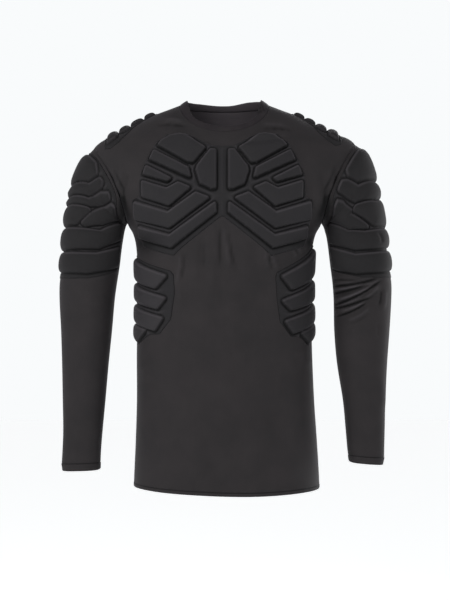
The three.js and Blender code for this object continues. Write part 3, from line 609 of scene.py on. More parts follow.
# turned edges: how far up the turned cloth and its crease lie, and how thick it is;
# each stitch row is a height, and how proud the cloth is there
hemEdge = {
    "turned": 5.2, "soft": 0.9, "crease": 6.6, "thick": 0.55, "tuck": 0.5,
    "stitches": ((5.2, 0.4), (8.2, 0.0)),
}
cuffEdge = {
    "turned": 12, "soft": 1.2, "crease": 13.8, "thick": 0.6, "tuck": 0.6,
    "stitches": ((12.2, 0.5), (15.4, 0.0)),
}


def turnedEdge(up, edge):
    # the turned cloth stands a little proud and ends at a crease; the crease also gets painted shade
    crease = bell(up - edge["crease"], 0.9)
    proud = edge["thick"] * (1 - ease((up - edge["turned"]) / edge["soft"]))
    return proud - 0.35 * crease - edge["tuck"] * bell(up, 0.7), 0.7 * crease


def armholeSeam(z):
    # the armhole's seam is drawn in deep at the armpit and fades out over the shoulder
    return ease((topZ + 2 - z) / 22), mix(0.45, 1, ease((-100 - z) / 34)), ease((-108 - z) / 34)


def spaced(start, end, step):
    return np.linspace(start, end, max(2, int(round(abs(end - start) / step)) + 1))


def panelEdge(face):
    hem = torsoCut["hemZ"]
    fine = hem + np.array([0, 0.5, 1.2, 2.2, 3.4, 4.6, 5.4, 6.0, 6.6, 7.4, 8.6, 10.2, 12.5, 16])
    lower = np.concatenate([fine, spaced(hem + 20, pitZ - 6, panelCut["rowStep"])])
    q = np.linspace(0, 1, 46)
    hole = mix(pitZ + 0.3, topZ - 0.2, 0.5 - 0.5 * np.cos(math.pi * q))
    crest = np.concatenate([spaced(-71, torsoCut["neckCornerZ"] - 9, 4), [0.5, 2.5, 4.5, 6, 7, 7.6, 8]])
    sideOf = lambda z: sideGirth(z) if face < 0 else halfGirth(z) - sideGirth(z)
    holeDistance = np.minimum(distanceToX(armholeX(hole), hole, face), sideOf(hole))
    z = np.concatenate([lower, hole, crest])
    distance = np.concatenate([sideOf(lower), holeDistance, sideOf(crest)])
    crestUp = np.interp(crest, [-72.4, -60, -46, -30, -14, -2, 8], np.arange(9, 16) / 15)
    up = np.concatenate([np.zeros(len(lower)), (1 + 8 * q) / 15, crestUp])
    return z, distance, up


def panelGrid(face):
    endZ, endDistance, up = panelEdge(face)
    fine = 1 - np.array([0, 0.5, 1.2, 2.0, 3.0, 4.2, 5.6, 7.2, 9.5, 12.5]) / 235
    half = np.concatenate([np.linspace(0, 0.925, panelCut["columns"]), fine[::-1]])
    shares = np.concatenate([-half[:0:-1], half])
    middleTop = torsoCut["neckFrontZ"] if face < 0 else torsoCut["neckBackZ"]
    middleZ = mix(endZ, mix(pitZ - 6, middleTop, up), ease(up * 8))
    turnRound = ease((up - 0.45) / 0.55)[:, None]
    size = np.abs(shares)[None, :]
    quarter = size * math.pi / 2
    z = mix(middleZ[:, None], endZ[:, None], mix(size**2.2, 1 - np.cos(quarter), turnRound))
    endX = curveThrough(torsoTable, "z", endZ)["half"][:, None]
    bent = np.where(size < 1, 0, endDistance[:, None])
    rows = np.nonzero(turnRound[:, 0] > 0)[0]
    inner = shares.size // 2
    part = distanceToX((endX * np.sin(quarter))[rows][:, inner:], z[rows][:, inner:], face)
    bent[np.ix_(rows, np.arange(inner, shares.size))] = part
    bent[np.ix_(rows, np.arange(inner, -1, -1))] = part
    bent[:, 0] = bent[:, -1] = endDistance
    distance = mix(size * endDistance[:, None], bent, turnRound)
    turn = np.where(shares < 0, -1.0, 1.0)[None, :]
    u = turn * (distance if face < 0 else halfGirth(z) - distance)
    return u, z, distance, endDistance


def hemDrop(x, z, face):
    # the front hem hangs lower, most of all just to the wearer's left of the middle,
    # and the back meets it at the sides
    low = 1 - ease((z - torsoCut["hemZ"]) / 90)
    drop = 5.2 * bell(x - 46, 122) - 2.2 * bell(x + 168, 46)
    return drop * low * (1 if face < 0 else bell(np.abs(x - 4) - 172, 25))


def bodyPanel(name, face):
    u, z, distance, endDistance = panelGrid(face)
    place = torsoPoint(u, z)
    rise = np.zeros(z.shape)
    # grooves at the armhole, side and shoulder seams
    hole = armholeDistance(place)
    atTop, groove, low = armholeSeam(z)
    byHole = z > pitZ - 4
    rise += np.where(byHole, groove * seamRise(hole) * ease((z - pitZ + 4) / 4) * atTop, 0)
    drawn = 11 * ease((z - pitZ + 14) / 90)  # the fold beside the seam runs into it at the armpit
    beside = bell(hole - drawn, 1.6) * low * ease((z - pitZ + 4) / 10)
    rise -= np.where(byHole, 0.9 * beside, 0)
    shade = np.where(z > pitZ - 4, bell(hole, 1.7) * atTop * (0.12 + 0.88 * low) + 0.7 * beside, 0)
    shade += pitShade(place)
    toEdge = endDistance[:, None] - distance
    onSeam = (z < pitZ) | (z > topZ)
    rise += np.where(onSeam, seamRise(toEdge), 0)
    shade += np.where(onSeam, 0.5 * bell(toEdge, 1.2), 0)
    turned, creased = turnedEdge(z - torsoCut["hemZ"], hemEdge)
    rise, shade = rise + turned, shade + creased
    dropped = z - hemDrop(place[..., 0], z, face)
    uv = np.stack([np.where(u < 0, -distance, distance), z], -1)
    piece = clothSheet(name, torsoPoint, 1, u, dropped, rise, uv)
    shadeCloth(piece, shade, foldHollow(torsoPoint, 1, u, z))
    return piece


print("cutting the body panels")
frontPanel = bodyPanel("front_panel", -1)
backPanel = bodyPanel("back_panel", 1)


def cuffLift(side, a, along):
    # the cuff's edge is drawn up a little where it turns round the sides
    total = sleeveGirth(side, along)
    toSide = np.minimum(np.minimum(a, total - a), np.abs(a - total / 2))
    fromCuff = sleeveSamples[side]["levels"][-1] - along
    return 1.2 * bell(toSide, 14) * (1 - ease(fromCuff / 14))


def sleeveTube(name, side):
    turn = 1 if side == "left" else -1
    end = sleeveSamples[side]["levels"][-1]
    down = np.concatenate([
        [0, 0.8, 1.6, 2.6, 3.8, 5.2, 7, 9.5, 13],
        spaced(17, 232, 5),
        spaced(234, 410, 1.9),
        spaced(414, end - 20, 4.5),
        end - np.array([17.5, 15.6, 14.4, 13.5, 12.7, 11.8, 10.6, 9.2, 7.6, 5.8, 4, 2.4, 1.2, 0.5, 0]),
    ])
    share = np.linspace(0, 1, 133)[:-1]
    total = sleeveGirth(side, down)[:, None]
    a = share[None, :] * total
    along = np.broadcast_to(down[:, None], a.shape)
    toUnder = np.abs(a - total / 2)
    fromCuff = end - along
    place = sleevePoint(side, a, along)
    atTop, groove, low = armholeSeam(place[..., 2])
    rise = groove * seamRise(along * 0.9) * atTop + 0.7 * seamRise(toUnder)
    shade = bell(along, 1.9) * atTop * (0.12 + 0.88 * low) + 0.4 * bell(toUnder, 1.2)
    shade += pitShade(place)
    turned, creased = turnedEdge(fromCuff, cuffEdge)
    rise, shade = rise + turned, shade + creased
    surface = sleeveSurface(side)
    pulled = along - cuffLift(side, a, along)
    rise -= 2.6 * ease((14 - fromCuff) / 14) * bell(np.minimum(a, total - a), 20)
    uv = np.stack([a, -along], -1)
    piece = clothSheet(name, surface, turn, a, pulled, rise, uv, closed=True, flip=turn < 0)
    shadeCloth(piece, shade, foldHollow(surface, turn, a, along))
    return piece


print("cutting the sleeves")
sleeveLeftTube = sleeveTube("sleeve_left_tube", "left")
sleeveRightTube = sleeveTube("sleeve_right_tube", "right")


# neckband: folded double and sewn standing round the neck opening
neckbandCut = {
    "height": 13,
    "around": 110,
    # distance up from the neckline and out from the middle layer
    "section": [
        (0.2, 0.7), (1.2, 0.45), (2.0, 0.9), (3.2, 1.15), (6.0, 1.3), (9.0, 1.3), (11.4, 1.15),
        (12.6, 0.75), (13.0, 0.1), (12.6, -0.65), (11.2, -1.1), (7.0, -1.3), (3.0, -1.15), (0.4, -0.8),
    ],
    # painted shade lines where the band rolls over, seen from the front
    "creases": [
        ((80, 6), (62, -4)), ((80, -2), (52, -17)), ((52, -17), (38, -22)), ((72, 10), (62, 1)),
    ],
}


def necklineRow(face, count):
    u, z, _, _ = panelGrid(face)
    line = torsoPoint(u[-1], z[-1])
    # even steps, and nothing of the corner's fine columns
    length = lengthAlong(line)
    return placed(line, length, np.linspace(length[-1] * 0.012, length[-1] * 0.988, count))


def makeNeckband():
    front = necklineRow(-1, neckbandCut["around"])
    back = necklineRow(1, neckbandCut["around"])[::-1]
    if np.linalg.norm(front[-1] - back[0]) > np.linalg.norm(front[-1] - back[-1]):
        back = back[::-1]
    line = np.concatenate([front, back])
    for _ in range(3):
        line = 0.5 * line + 0.25 * (np.roll(line, 1, 0) + np.roll(line, -1, 0))
    tangent = unit(np.roll(line, -1, 0) - np.roll(line, 1, 0))
    inward = unit(np.stack([-line[:, 0], 8 - line[:, 1]], -1))
    lean = mix(0.46, 0.86, (np.abs(line[:, 0]) / 84) ** 2)
    up = unit(np.stack([inward[:, 0] * lean, inward[:, 1] * lean, np.full(len(line), 0.75)], -1))
    up = squareTo(up, tangent)
    out = np.cross(tangent, up)
    flat = np.stack([line[:, 0], line[:, 1] - 8, np.zeros(len(line))], -1)
    out *= np.where(np.sum(out * flat, axis=1) < 0, -1.0, 1.0)[:, None]
    for _ in range(14):
        up = 0.5 * up + 0.25 * (np.roll(up, 1, 0) + np.roll(up, -1, 0))
    corner = bell(np.abs(line[:, 0]) - 84, 9)
    tall = np.where(line[:, 0] > 0, 0.5, 0.2) * ease((np.abs(line[:, 0]) - 5) / 50) * (line[:, 1] > 8)
    beside = bell(np.abs(line[:, 0]) - 84, 13)
    tall = mix(tall, np.where(line[:, 0] > 0, 0.46, 0.32), beside)
    rings, uv = [], []
    length = lengthAlong(line)
    for rise, thick in neckbandCut["section"]:
        # the band rolls and narrows a little at the wearer's left of the front
        x, y = line[:, 0], line[:, 1]
        roll = bell(x - 58, 16) * (y < 0)
        wave = 0.35 * np.sin(x / 9.0) * (y < 0) + 0.25 * np.sin(x / 13.0 + 1) * (y > 0)
        grow = 1 - 0.12 * roll + tall
        away = thick - 0.7 + (wave + 1.8 * roll - 2.2 * corner) * rise / 13
        rings.append(line + up * (rise * grow)[:, None] + out * away[:, None])
        uv.append(np.stack([length, np.full(len(line), rise)], -1))
    rings, uv = np.array(rings), np.array(uv)
    rows, columns = rings.shape[:2]
    faces = [gridFaces(rows, columns, 0, False, True)]
    at = np.arange(rows * columns).reshape(rows, columns)
    a, b = at[-1], at[0]
    faces.append(np.stack([a, np.roll(a, -1), np.roll(b, -1), b], -1))
    piece = makeMesh("neckband_rib", rings.reshape(-1, 3), np.concatenate(faces), uv.reshape(-1, 2))
    # the band's inner layers get the knit's paler back colour, which is also painted light on the
    # shaded inside of the neck
    inner = np.array([thick < -0.5 for _, thick in neckbandCut["section"]], float)
    addShade(piece, "inside", np.repeat(inner, columns) * 0.8)
    # painted shade at the band's foot and along the lines where it rolls over
    foot = [bell(rise, 1.6) if thick > 0 else 0 for rise, thick in neckbandCut["section"]]
    shade = np.repeat(np.array(foot), columns) * 0.3
    flat = rings.reshape(-1, 3)
    for (x0, z0), (x1, z1) in neckbandCut["creases"]:
        dx, dz = x1 - x0, z1 - z0
        t = np.clip(((flat[:, 0] - x0) * dx + (flat[:, 2] - z0) * dz) / (dx**2 + dz**2), 0, 1)
        away = np.hypot(flat[:, 0] - mix(x0, x1, t), flat[:, 2] - mix(z0, z1, t))
        shade += 0.75 * bell(away, 1.7) * (flat[:, 1] < 0)
    addShade(piece, "channel", np.clip(shade, 0, 1))
    fixNormals(piece)
    return piece


def fixNormals(piece):
    bpy.ops.object.select_all(action="DESELECT")
    bpy.context.view_layer.objects.active = piece
    piece.select_set(True)
    bpy.ops.object.mode_set(mode="EDIT")
    bpy.ops.mesh.select_all(action="SELECT")
    bpy.ops.mesh.normals_make_consistent(inside=False)
    bpy.ops.object.mode_set(mode="OBJECT")
    piece.select_set(False)


print("folding the neckband")
neckband = makeNeckband()


# pads: drawn flat on their panel, each closed line by its corners
def roundedLine(corners, radius):
    line = [np.array(c, float) for c in corners]
    out = []
    for i, p in enumerate(line):
        a, b = line[i - 1] - p, line[(i + 1) % len(line)] - p
        la, lb = np.linalg.norm(a), np.linalg.norm(b)
        angle = math.acos(max(-1, min(1, float(a @ b) / (la * lb))))
        if angle > 3.05:
            out.append(p)
            continue
        cut = min(radius / math.tan(angle / 2), 0.45 * la, 0.45 * lb)
        start, end = p + a / la * cut, p + b / lb * cut
        for t in np.linspace(0, 1, 6):
            out.append((1 - t) ** 2 * start + 2 * t * (1 - t) * p + t**2 * end)
    return np.array(out)


def insideDistance(u, v, line):
    # distance to a closed line, above 0 inside it
    best = np.full(u.shape, 1e9)
    inside = np.zeros(u.shape, bool)
    nearU, nearV = u.copy(), v.copy()
    for (x0, y0), (x1, y1) in zip(line, np.roll(line, -1, 0)):
        dx, dy = x1 - x0, y1 - y0
        size = dx * dx + dy * dy
        if size < 1e-9:
            continue
        t = np.clip(((u - x0) * dx + (v - y0) * dy) / size, 0, 1)
        away = (u - x0 - t * dx) ** 2 + (v - y0 - t * dy) ** 2
        closer = away < best
        nearU, nearV = np.where(closer, x0 + t * dx, nearU), np.where(closer, y0 + t * dy, nearV)
        best = np.where(closer, away, best)
        cross = (y0 > v) != (y1 > v)
        if dy:
            inside ^= cross & (u < dx * (v - y0) / dy + x0)
    return np.where(inside, 1, -1) * np.sqrt(best), nearU, nearV


foam = {
    "base": 1.3,  # stitched-down layer
    "baseEase": 2.2,  # how far in from the edge it rises
    "height": 5.8,  # foam above it
    "channel": 0.9,  # depth of the stitched channel round each cell
    "step": 1.6,  # size of the pad's mesh
    "crown": 1.3,  # how much a cell domes
    "roll": 1.5,  # how far the floor between two cells bulges
    "lineHalf": 2.5,  # half the breadth of the painted shadow line at a cell's foot
}


def foamPad(name, surface, turn, outline, cells, grow, rounding, down, paintedLight=0.0, ends=1.0, line=1.0):
    edge = roundedLine(outline, 6)
    low, high = edge.min(0) - 3, edge.max(0) + 3
    step = foam["step"]
    us, vs = np.arange(low[0], high[0], step), np.arange(low[1], high[1], step)
    u, v = np.meshgrid(us, vs)
    toEdge = insideDistance(u, v, edge)[0]
    centre = 0.25 * (toEdge[:-1, :-1] + toEdge[1:, :-1] + toEdge[:-1, 1:] + toEdge[1:, 1:])
    rows, columns = u.shape
    i, j = np.nonzero(centre > 0)
    first = i * columns + j
    quads = np.stack([first, first + 1, first + columns + 1, first + columns], -1)
    used = np.unique(quads)
    number = np.full(rows * columns, -1)
    number[used] = np.arange(len(used))
    quads = number[quads]
    pu, pv = u.ravel()[used], v.ravel()[used]
    # a point with fewer than four quads lies on the rim, and is drawn onto the outline
    rim = np.bincount(quads.ravel(), minlength=len(used)) < 4
    _, pu[rim], pv[rim] = insideDistance(pu[rim], pv[rim], edge)
    lines = [roundedLine(cell, 3.6) for cell in cells]
    # points close to a cell's foot are drawn onto it, so the groove runs clean
    for cell in lines:
        d, nearU, nearV = insideDistance(pu, pv, cell)
        toFoot = d + grow
        take = (np.abs(toFoot) < 0.52 * step) & ~rim & (d < -0.05)
        share = np.where(take, toFoot / np.minimum(d, -0.05), 0)
        pu, pv = pu + (nearU - pu) * share, pv + (nearV - pv) * share
    toEdge = insideDistance(pu, pv, edge)[0]
    h = foam["base"] * ease(toEdge / foam["baseEase"]) - 0.25
    edgeHighlight = np.zeros(len(pu))
    depths, below = [], []
    for cell in lines:
        d, _, nearV = insideDistance(pu, pv, cell)
        depths.append(d + grow)
        below.append((pv - nearV) * np.sign(-d) * down / np.maximum(np.abs(d), 0.1))
    depths, below = np.array(depths), np.array(below)
    order = np.argsort(-depths, axis=0)
    pick = lambda table, rank: np.take_along_axis(table, order[rank][None], 0)[0]
    best, second = pick(depths, 0), pick(depths, 1)
    inside = np.minimum(best, np.maximum((best - second) / 2, 0))
    inside = np.where(second > 0, inside, best)
    toFoot = np.abs(inside)
    towards = pick(below, 0).clip(-1, 1)
    # the floor between two cells is pressed up into a roll
    roll = np.where(best < 0, bell(best - second, 4) * bell(best + second, 16), 0)
    roll *= ease((-best - 0.6) / 2)
    h += foam["roll"] * roll
    h -= foam["channel"] * bell(toFoot, 1.4) * ease(toEdge / 4)
    t = np.clip(inside / rounding, 0, 1)
    rise = foam["height"] * (1 - (1 - t) ** 2.2) ** 0.6
    rise += foam["crown"] * (1 - np.exp(-np.clip(inside, 0, None) / 10))
    foot = foam["base"] - 0.25 - foam["channel"] * bell(inside, 1.4)
    h = np.where(inside > 0, np.maximum(h, foot + rise), h)
    # painted highlight: the cells' upper edges are lighter, as if lit from above, and so are the rolls
    # between cells and, on some pads, the whole cell tops where they are lit more
    edgeHighlight = np.where(inside > 0, bell(inside - 2.6, 1.7), 0) * (0.5 - 0.55 * towards)
    edgeHighlight += 0.5 * roll + paintedLight * ease(inside / 4)
    h -= 0.25 * bell(toEdge - 2.2, 0.7) * (edgeHighlight < 0.3)
    h[rim] = -0.35
    top = lifted(surface, turn, pu, pv, h)
    place = surface(pu, pv)
    under = ~rim
    bottom = lifted(surface, turn, pu[under], pv[under], -0.4)
    mapping = np.arange(len(pu))
    mapping[under] = len(pu) + np.arange(under.sum())
    faces = np.concatenate([quads, mapping[quads][:, ::-1]])
    points = np.concatenate([top, bottom])
    flat = np.stack([pu, pv], -1)
    piece = makeMesh(name, points, faces, np.concatenate([flat, flat[under]]))
    # painted shadow along each cell's foot, broader and darker below the cell, and along the pad's edge
    broad = foam["lineHalf"] + 0.4 * towards
    shade = line * np.exp(-((toFoot / broad) ** 4)) * (0.88 + 0.12 * towards)
    # the painted shadow line fades where a cell ends beside the pad's edge
    shade *= 1 - (1 - ends) * bell(toEdge, 15) * (1 - ease(np.abs(towards) * 1.8))
    shade += mix(0.5, 0.9, ease((-190 - place[:, 2]) / 12)) * bell(toEdge, 1.9)
    shade += pitShade(place)
    addShade(piece, "channel", np.concatenate([np.clip(shade, 0, 1), np.zeros(under.sum())]))
    addShade(piece, "paintedHighlight", np.concatenate([edgeHighlight, np.zeros(under.sum())]))
    fixNormals(piece)
    return piece


chestPad = {
    "middle": -4,
    "cells": [
        [[117, -76], [109, -67], [94, -58], [76, -55], [65, -57], [29, -81], [52, -109], [61, -108]],
        [[123, -84], [60, -117], [55, -137], [131, -102]],
        [[137, -112], [90, -136], [97, -143], [143, -129]],
        [[145, -139], [99, -154], [78, -143], [55, -153], [94, -185], [144, -169]],
        [[161, -175], [96, -195], [47, -161], [21, -171], [94, -224], [165, -205]],
        [[161, -218], [94, -236], [11, -177], [11, -197], [91, -259], [163, -240]],
        [[22, -84], [11, -84], [11, -156], [20, -156], [39, -147], [47, -123], [45, -114]],
    ],
    "edge": [
        [0, -76], [18, -76], [66, -51], [98, -53], [121, -69], [136, -99], [149, -128], [151, -140],
        [152, -168], [167, -173], [171, -205], [169, -246], [159, -257], [88, -275], [72, -260],
        [17, -217], [0, -204],
    ],
}


def mirroredLine(line, turn, middle=0):
    return [[middle + turn * d, z] for d, z in line]


print("moulding the foam pads")
middle = chestPad["middle"]
chestEdge = mirroredLine(chestPad["edge"], 1, middle)
chestEdge += mirroredLine(chestPad["edge"][1:-1], -1, middle)[::-1]
chestFoam = foamPad(
    "chest_pad_foam",
    torsoPoint,
    1,
    chestEdge,
    [mirroredLine(cell, turn, middle) for turn in (-1, 1) for cell in chestPad["cells"]],
    grow=2.0,
    rounding=5.2,
    down=-1,
    paintedLight=0.1,
    ends=0.25,
)

ribPads = {
    "right": {
        "edge": [
            [98, -300], [208, -270], [240, -268], [296, -292], [299, -330], [290, -372], [262, -416],
            [214, -428], [184, -436], [144, -417], [120, -415], [97, -388], [89, -339], [91, -308],
        ],
        "cells": [
            [[104, -309], [128, -332], [212, -313], [240, -313], [286, -326], [291, -302],
             [240, -276], [210, -278]],
            [[106, -349], [124, -369], [210, -352], [238, -352], [280, -362], [289, -338],
             [238, -322], [210, -323]],
            [[112, -385], [129, -408], [210, -391], [236, -391], [266, -398], [279, -376],
             [236, -362], [210, -362]],
            [[150, -407], [180, -430], [214, -421], [252, -412], [262, -398], [214, -398]],
        ],
    },
    "left": {
        "edge": [
            [94, -303], [208, -250], [240, -252], [296, -280], [299, -330], [290, -372], [262, -412],
            [210, -426], [172, -437], [144, -420], [125, -420], [101, -393], [95, -353], [92, -312],
        ],
        "cells": [
            [[103, -310], [124, -334], [210, -306], [240, -306], [286, -318], [291, -292],
             [240, -262], [210, -260]],
            [[104, -354], [122, -371], [192, -356], [238, -348], [280, -354], [289, -330],
             [238, -316], [210, -318]],
            [[110, -391], [127, -413], [204, -394], [236, -388], [266, -394], [279, -368],
             [236, -358], [209, -362]],
            [[145, -413], [170, -432], [214, -418], [252, -408], [262, -396], [210, -396]],
        ],
    },
}
ribFoam = {}
for side, drawing in ribPads.items():
    turn = 1 if side == "left" else -1
    ribFoam[side] = foamPad(
        f"rib_pad_{side}_foam",
        torsoPoint,
        1,
        mirroredLine(drawing["edge"], turn),
        [mirroredLine(cell, turn) for cell in drawing["cells"]],
        grow=2.6,
        rounding=10,
        down=-1,
        # painted light on the wearer's right rib pad, which faces the key light
        paintedLight=0.38 if side == "right" else 0.05,
    )

# girth from the sleeve's outer side, the front above 0, and distance down that side
upperArmPad = {
    "edge": [
        [0, 10], [60, 6], [104, 8], [132, 9], [148, 15], [157, 52], [160, 84], [158, 190],
        [154, 238], [88, 253],
        [0, 255], [-88, 253], [-134, 232], [-136, 104], [-114, 14], [-60, 6],
    ],
    "left": [
        [[0, 19], [44, 13], [92, 13], [94, 21], [76, 45], [18, 71], [-10, 72], [-79, 26], [-66, 14]],
        [[0, 80], [20, 79], [80, 53], [101, 26], [112, 16], [129, 17], [88, 78], [40, 101], [0, 104],
         [-40, 101], [-86, 77], [-104, 24], [-90, 24], [-80, 50]],
        [[0, 112], [40, 109], [90, 87], [94, 97], [56, 151], [0, 158], [-57, 148], [-85, 88],
         [-40, 109]],
        [[101, 102], [99, 92], [122, 48], [138, 30], [147, 32], [152, 66], [101, 146], [66, 156]],
        [[154, 80], [105, 152], [76, 163], [12, 166], [-98, 154], [-128, 110], [-126, 152], [-98, 195],
         [-16, 194], [95, 197], [147, 176]],
        [[149, 188], [97, 209], [-16, 206], [-96, 204], [-126, 186], [-124, 222], [-87, 240],
         [-25, 235],
         [98, 242], [146, 231]],
    ],
    "right": [
        [[0, 20], [66, 14], [81, 24], [66, 48], [12, 79], [-10, 79], [-79, 23], [-66, 14]],
        [[0, 86], [14, 86], [74, 51], [91, 26], [100, 24], [101, 34], [77, 71], [15, 101],
         [-15, 101], [-82, 72],
         [-104, 24], [-91, 24]],
        [[0, 108], [15, 108], [80, 79], [105, 43], [122, 28], [130, 31], [99, 77], [82, 92],
         [13, 117], [-13, 117],
         [-84, 92], [-82, 80], [-15, 108]],
        [[0, 125], [11, 125], [86, 99], [57, 147], [0, 155], [-57, 147], [-86, 99], [-11, 125]],
        [[69, 143], [89, 106], [104, 84], [136, 37], [147, 32], [151, 62], [105, 128], [76, 147]],
        [[155, 78], [105, 151], [10, 165], [-98, 153], [-128, 108], [-126, 152], [-98, 193], [0, 199],
         [102, 192], [149, 163]],
        [[149, 187], [99, 205], [0, 209], [-96, 205], [-126, 186], [-124, 222], [-87, 240], [0, 238],
         [87, 240], [148, 225]],
    ],
}
armFoam = {}
for side in ("left", "right"):
    armFoam[side] = foamPad(
        f"upper_arm_pad_{side}_foam",
        sleeveSurface(side),
        1 if side == "left" else -1,
        upperArmPad["edge"],
        upperArmPad[side],
        grow=4.2,
        rounding=18,
        down=1,
        ends=0.6,
        line=0.85,
    )

shoulderPad = {
    "edge": [
        [124, -17], [146, -25], [162, -36], [172, -54], [186, -69], [202, -72], [215, -60], [216, 70],
        [204, 84], [150, 86], [126, 72],
    ],
    # place along the shoulder, front end, back end
    "ribs": [(141, -8, 74), (161, -14, 78), (181, -32, 78), (202, -46, 72)],
}


def shoulderLine(line, turn):
    # the outer ribs lie a little further out on the wearer's right
    return [[turn * (x + (6 * float(ease((x - 141) / 34)) if turn < 0 else 0)), w] for x, w in line]


shoulderFoam, shoulderSides, shoulderEdges = {}, {}, {}
for side in ("left", "right"):
    turn = 1 if side == "left" else -1
    ribs = [
        [[x - 11, start - 5], [x + 5, start - 9], [x + 7, end], [x - 7, end]]
        for x, start, end in shoulderPad["ribs"]
    ]
    shoulderEdges[side] = shoulderLine(shoulderPad["edge"], turn)

    def shoulderSide(x, w, turn=turn):
        point = shoulderPoint(np.abs(x), w)
        return point * np.array([turn, 1, 1])

    shoulderSides[side] = shoulderSide
    shoulderFoam[side] = foamPad(
        f"shoulder_pad_{side}_foam",
        shoulderSide,
        1,
        shoulderEdges[side],
        [shoulderLine(rib, turn) for rib in ribs],
        grow=2.4,
        rounding=9.4,
        down=0,
        ends=0.35,
    )


# stitching: one stitch is modelled, and its copies are laid along each seam
thread = {"pitch": 3.5, "long": 2.7, "thick": 0.42, "sunk": 0.06}


def oneStitch():
    bpy.ops.object.select_all(action="DESELECT")
    bpy.ops.mesh.primitive_uv_sphere_add(segments=6, ring_count=4, radius=1, location=(0, 0, 0))
    model = bpy.context.object
    points = np.array([v.co[:] for v in model.data.vertices])[:, [2, 0, 1]]
    faces = sorted(list(f.vertices) for f in model.data.polygons)  # in the same order each run
    bpy.data.objects.remove(model)
    # blunt ends and a slight arch, as of a thread pulled down at both needle holes
    points[:, 0] = np.sign(points[:, 0]) * np.abs(points[:, 0]) ** 0.8
    points *= np.array([thread["long"], thread["thick"], thread["thick"]]) / 2
    points[:, 2] -= 0.25 * (points[:, 0] / thread["long"] * 2) ** 2
    return points, faces


stitchPoints, stitchFaces = oneStitch()


def stitchRow(surface, turn, u, v, height):
    # u and v run along the seam; height is the cloth's own rise there
    line = lifted(surface, turn, u, v, height + thread["thick"] / 2 - thread["sunk"])
    normal = placeAndNormal(surface, turn, u, v)[1]
    length = lengthAlong(line)
    at = np.arange(thread["pitch"] / 2, length[-1], thread["pitch"])
    centre = placed(line, length, at)
    tangent = unit(placed(line, length, at + 0.6) - placed(line, length, at - 0.6))
    up = squareTo(placed(normal, length, at), tangent)
    across = np.cross(up, tangent)
    x, y, z = (stitchPoints[None, :, m, None] for m in range(3))
    return centre[:, None] + tangent[:, None] * x + across[:, None] * y + up[:, None] * z


def sewRows(name, rows):
    copies = np.concatenate(rows)
    count = stitchPoints.shape[0]
    faces = [[k + i * count for k in face] for i in range(len(copies)) for face in stitchFaces]
    mesh = bpy.data.meshes.new(name)
    mesh.from_pydata((copies.reshape(-1, 3) / 1000).tolist(), [], faces)
    mesh.polygons.foreach_set("use_smooth", np.ones(len(mesh.polygons), bool))
    piece = bpy.data.objects.new(name, mesh)
    bpy.context.scene.collection.objects.link(piece)
    return piece


def hemStitches():
    rows = []
    for face in (-1, 1):
        side, total = sideGirth(torsoCut["hemZ"]), halfGirth(torsoCut["hemZ"])
        start, end = (-side, side) if face < 0 else (side, 2 * total - side)
        reach = np.linspace(start + 2, end - 2, 500)
        for up, height in hemEdge["stitches"]:
            z = np.full(reach.size, torsoCut["hemZ"] + up)
            dropped = z - hemDrop(torsoPoint(reach, z)[:, 0], z, face)
            rows.append(stitchRow(torsoPoint, 1, reach, dropped, height))
    return rows


def sleeveStitches(side):
    turn = 1 if side == "left" else -1
    surface = sleeveSurface(side)
    end = sleeveSamples[side]["levels"][-1]
    rows = []
    for fromCuff, height in cuffEdge["stitches"]:
        along = np.full(300, end - fromCuff)
        a = np.linspace(0, 1, 300) * sleeveGirth(side, along)
        rows.append(stitchRow(surface, turn, a, along - cuffLift(side, a, along), height))
    # one row beside the armhole, which stops short of the armpit
    along = np.full(400, 3.6)
    a = np.linspace(0.06, 0.94, 400) * sleeveGirth(side, along)
    rows.append(stitchRow(surface, turn, a, along, 0.35))
    return rows


def neckStitches():
    rows = []
    for face in (-1, 1):
        u, z, _, _ = panelGrid(face)
        # the row of the panel that lies about 3 mm below the neckline, without its ends
        keep = slice(12, -12)
        uu, zz = u[-1, keep], z[-1, keep] - 3.2
        rows.append(stitchRow(torsoPoint, 1, uu, zz, 0.0))
    return rows


def padStitches(surface, turn, outline):
    edge = roundedLine(outline, 6)
    line = np.concatenate([edge, edge[:1]])
    length = lengthAlong(line)
    line = placed(line, length, np.linspace(0, length[-1], int(length[-1] / 1.5)))
    # moved in by the width of the stitched margin
    ahead = np.roll(line, -1, 0) - np.roll(line, 1, 0)
    inward = np.stack([-ahead[:, 1], ahead[:, 0]], -1)
    inward /= np.maximum(np.linalg.norm(ahead, axis=1), 1e-9)[:, None]
    if np.mean(insideDistance(*(line + inward).T, edge)[0]) < 0:
        inward = -inward
    line = line + inward * 2.3
    return stitchRow(surface, turn, line[:, 0], line[:, 1], foam["base"] - 0.45)


print("sewing the seams")
seamStitches = sewRows("seam_stitches", [
    *hemStitches(), *sleeveStitches("left"), *sleeveStitches("right"), *neckStitches()])
padRows = [padStitches(torsoPoint, 1, chestEdge)]
for side in ("left", "right"):
    turn = 1 if side == "left" else -1
    padRows.append(padStitches(torsoPoint, 1, mirroredLine(ribPads[side]["edge"], turn)))
    padRows.append(padStitches(sleeveSurface(side), turn, upperArmPad["edge"]))
    padRows.append(padStitches(shoulderSides[side], 1, shoulderEdges[side]))
padSeamStitches = sewRows("pad_stitches", padRows)


# materials
def linearColour(hexText, alpha=1.0):
    values = [int(hexText[i : i + 2], 16) / 255 for i in (1, 3, 5)]
    return [v / 12.92 if v <= 0.04045 else ((v + 0.055) / 1.055) ** 2.4 for v in values] + [alpha]


def addNode(tree, kind, settings=None, links=None):
    node = tree.nodes.new(kind)
    for name, value in (settings or {}).items():
        if isinstance(name, int) or name in node.inputs.keys():
            node.inputs[name].default_value = value
        else:
            setattr(node, name, value)
    for name, source in (links or {}).items():
        tree.links.new(source, node.inputs[name])
    return node


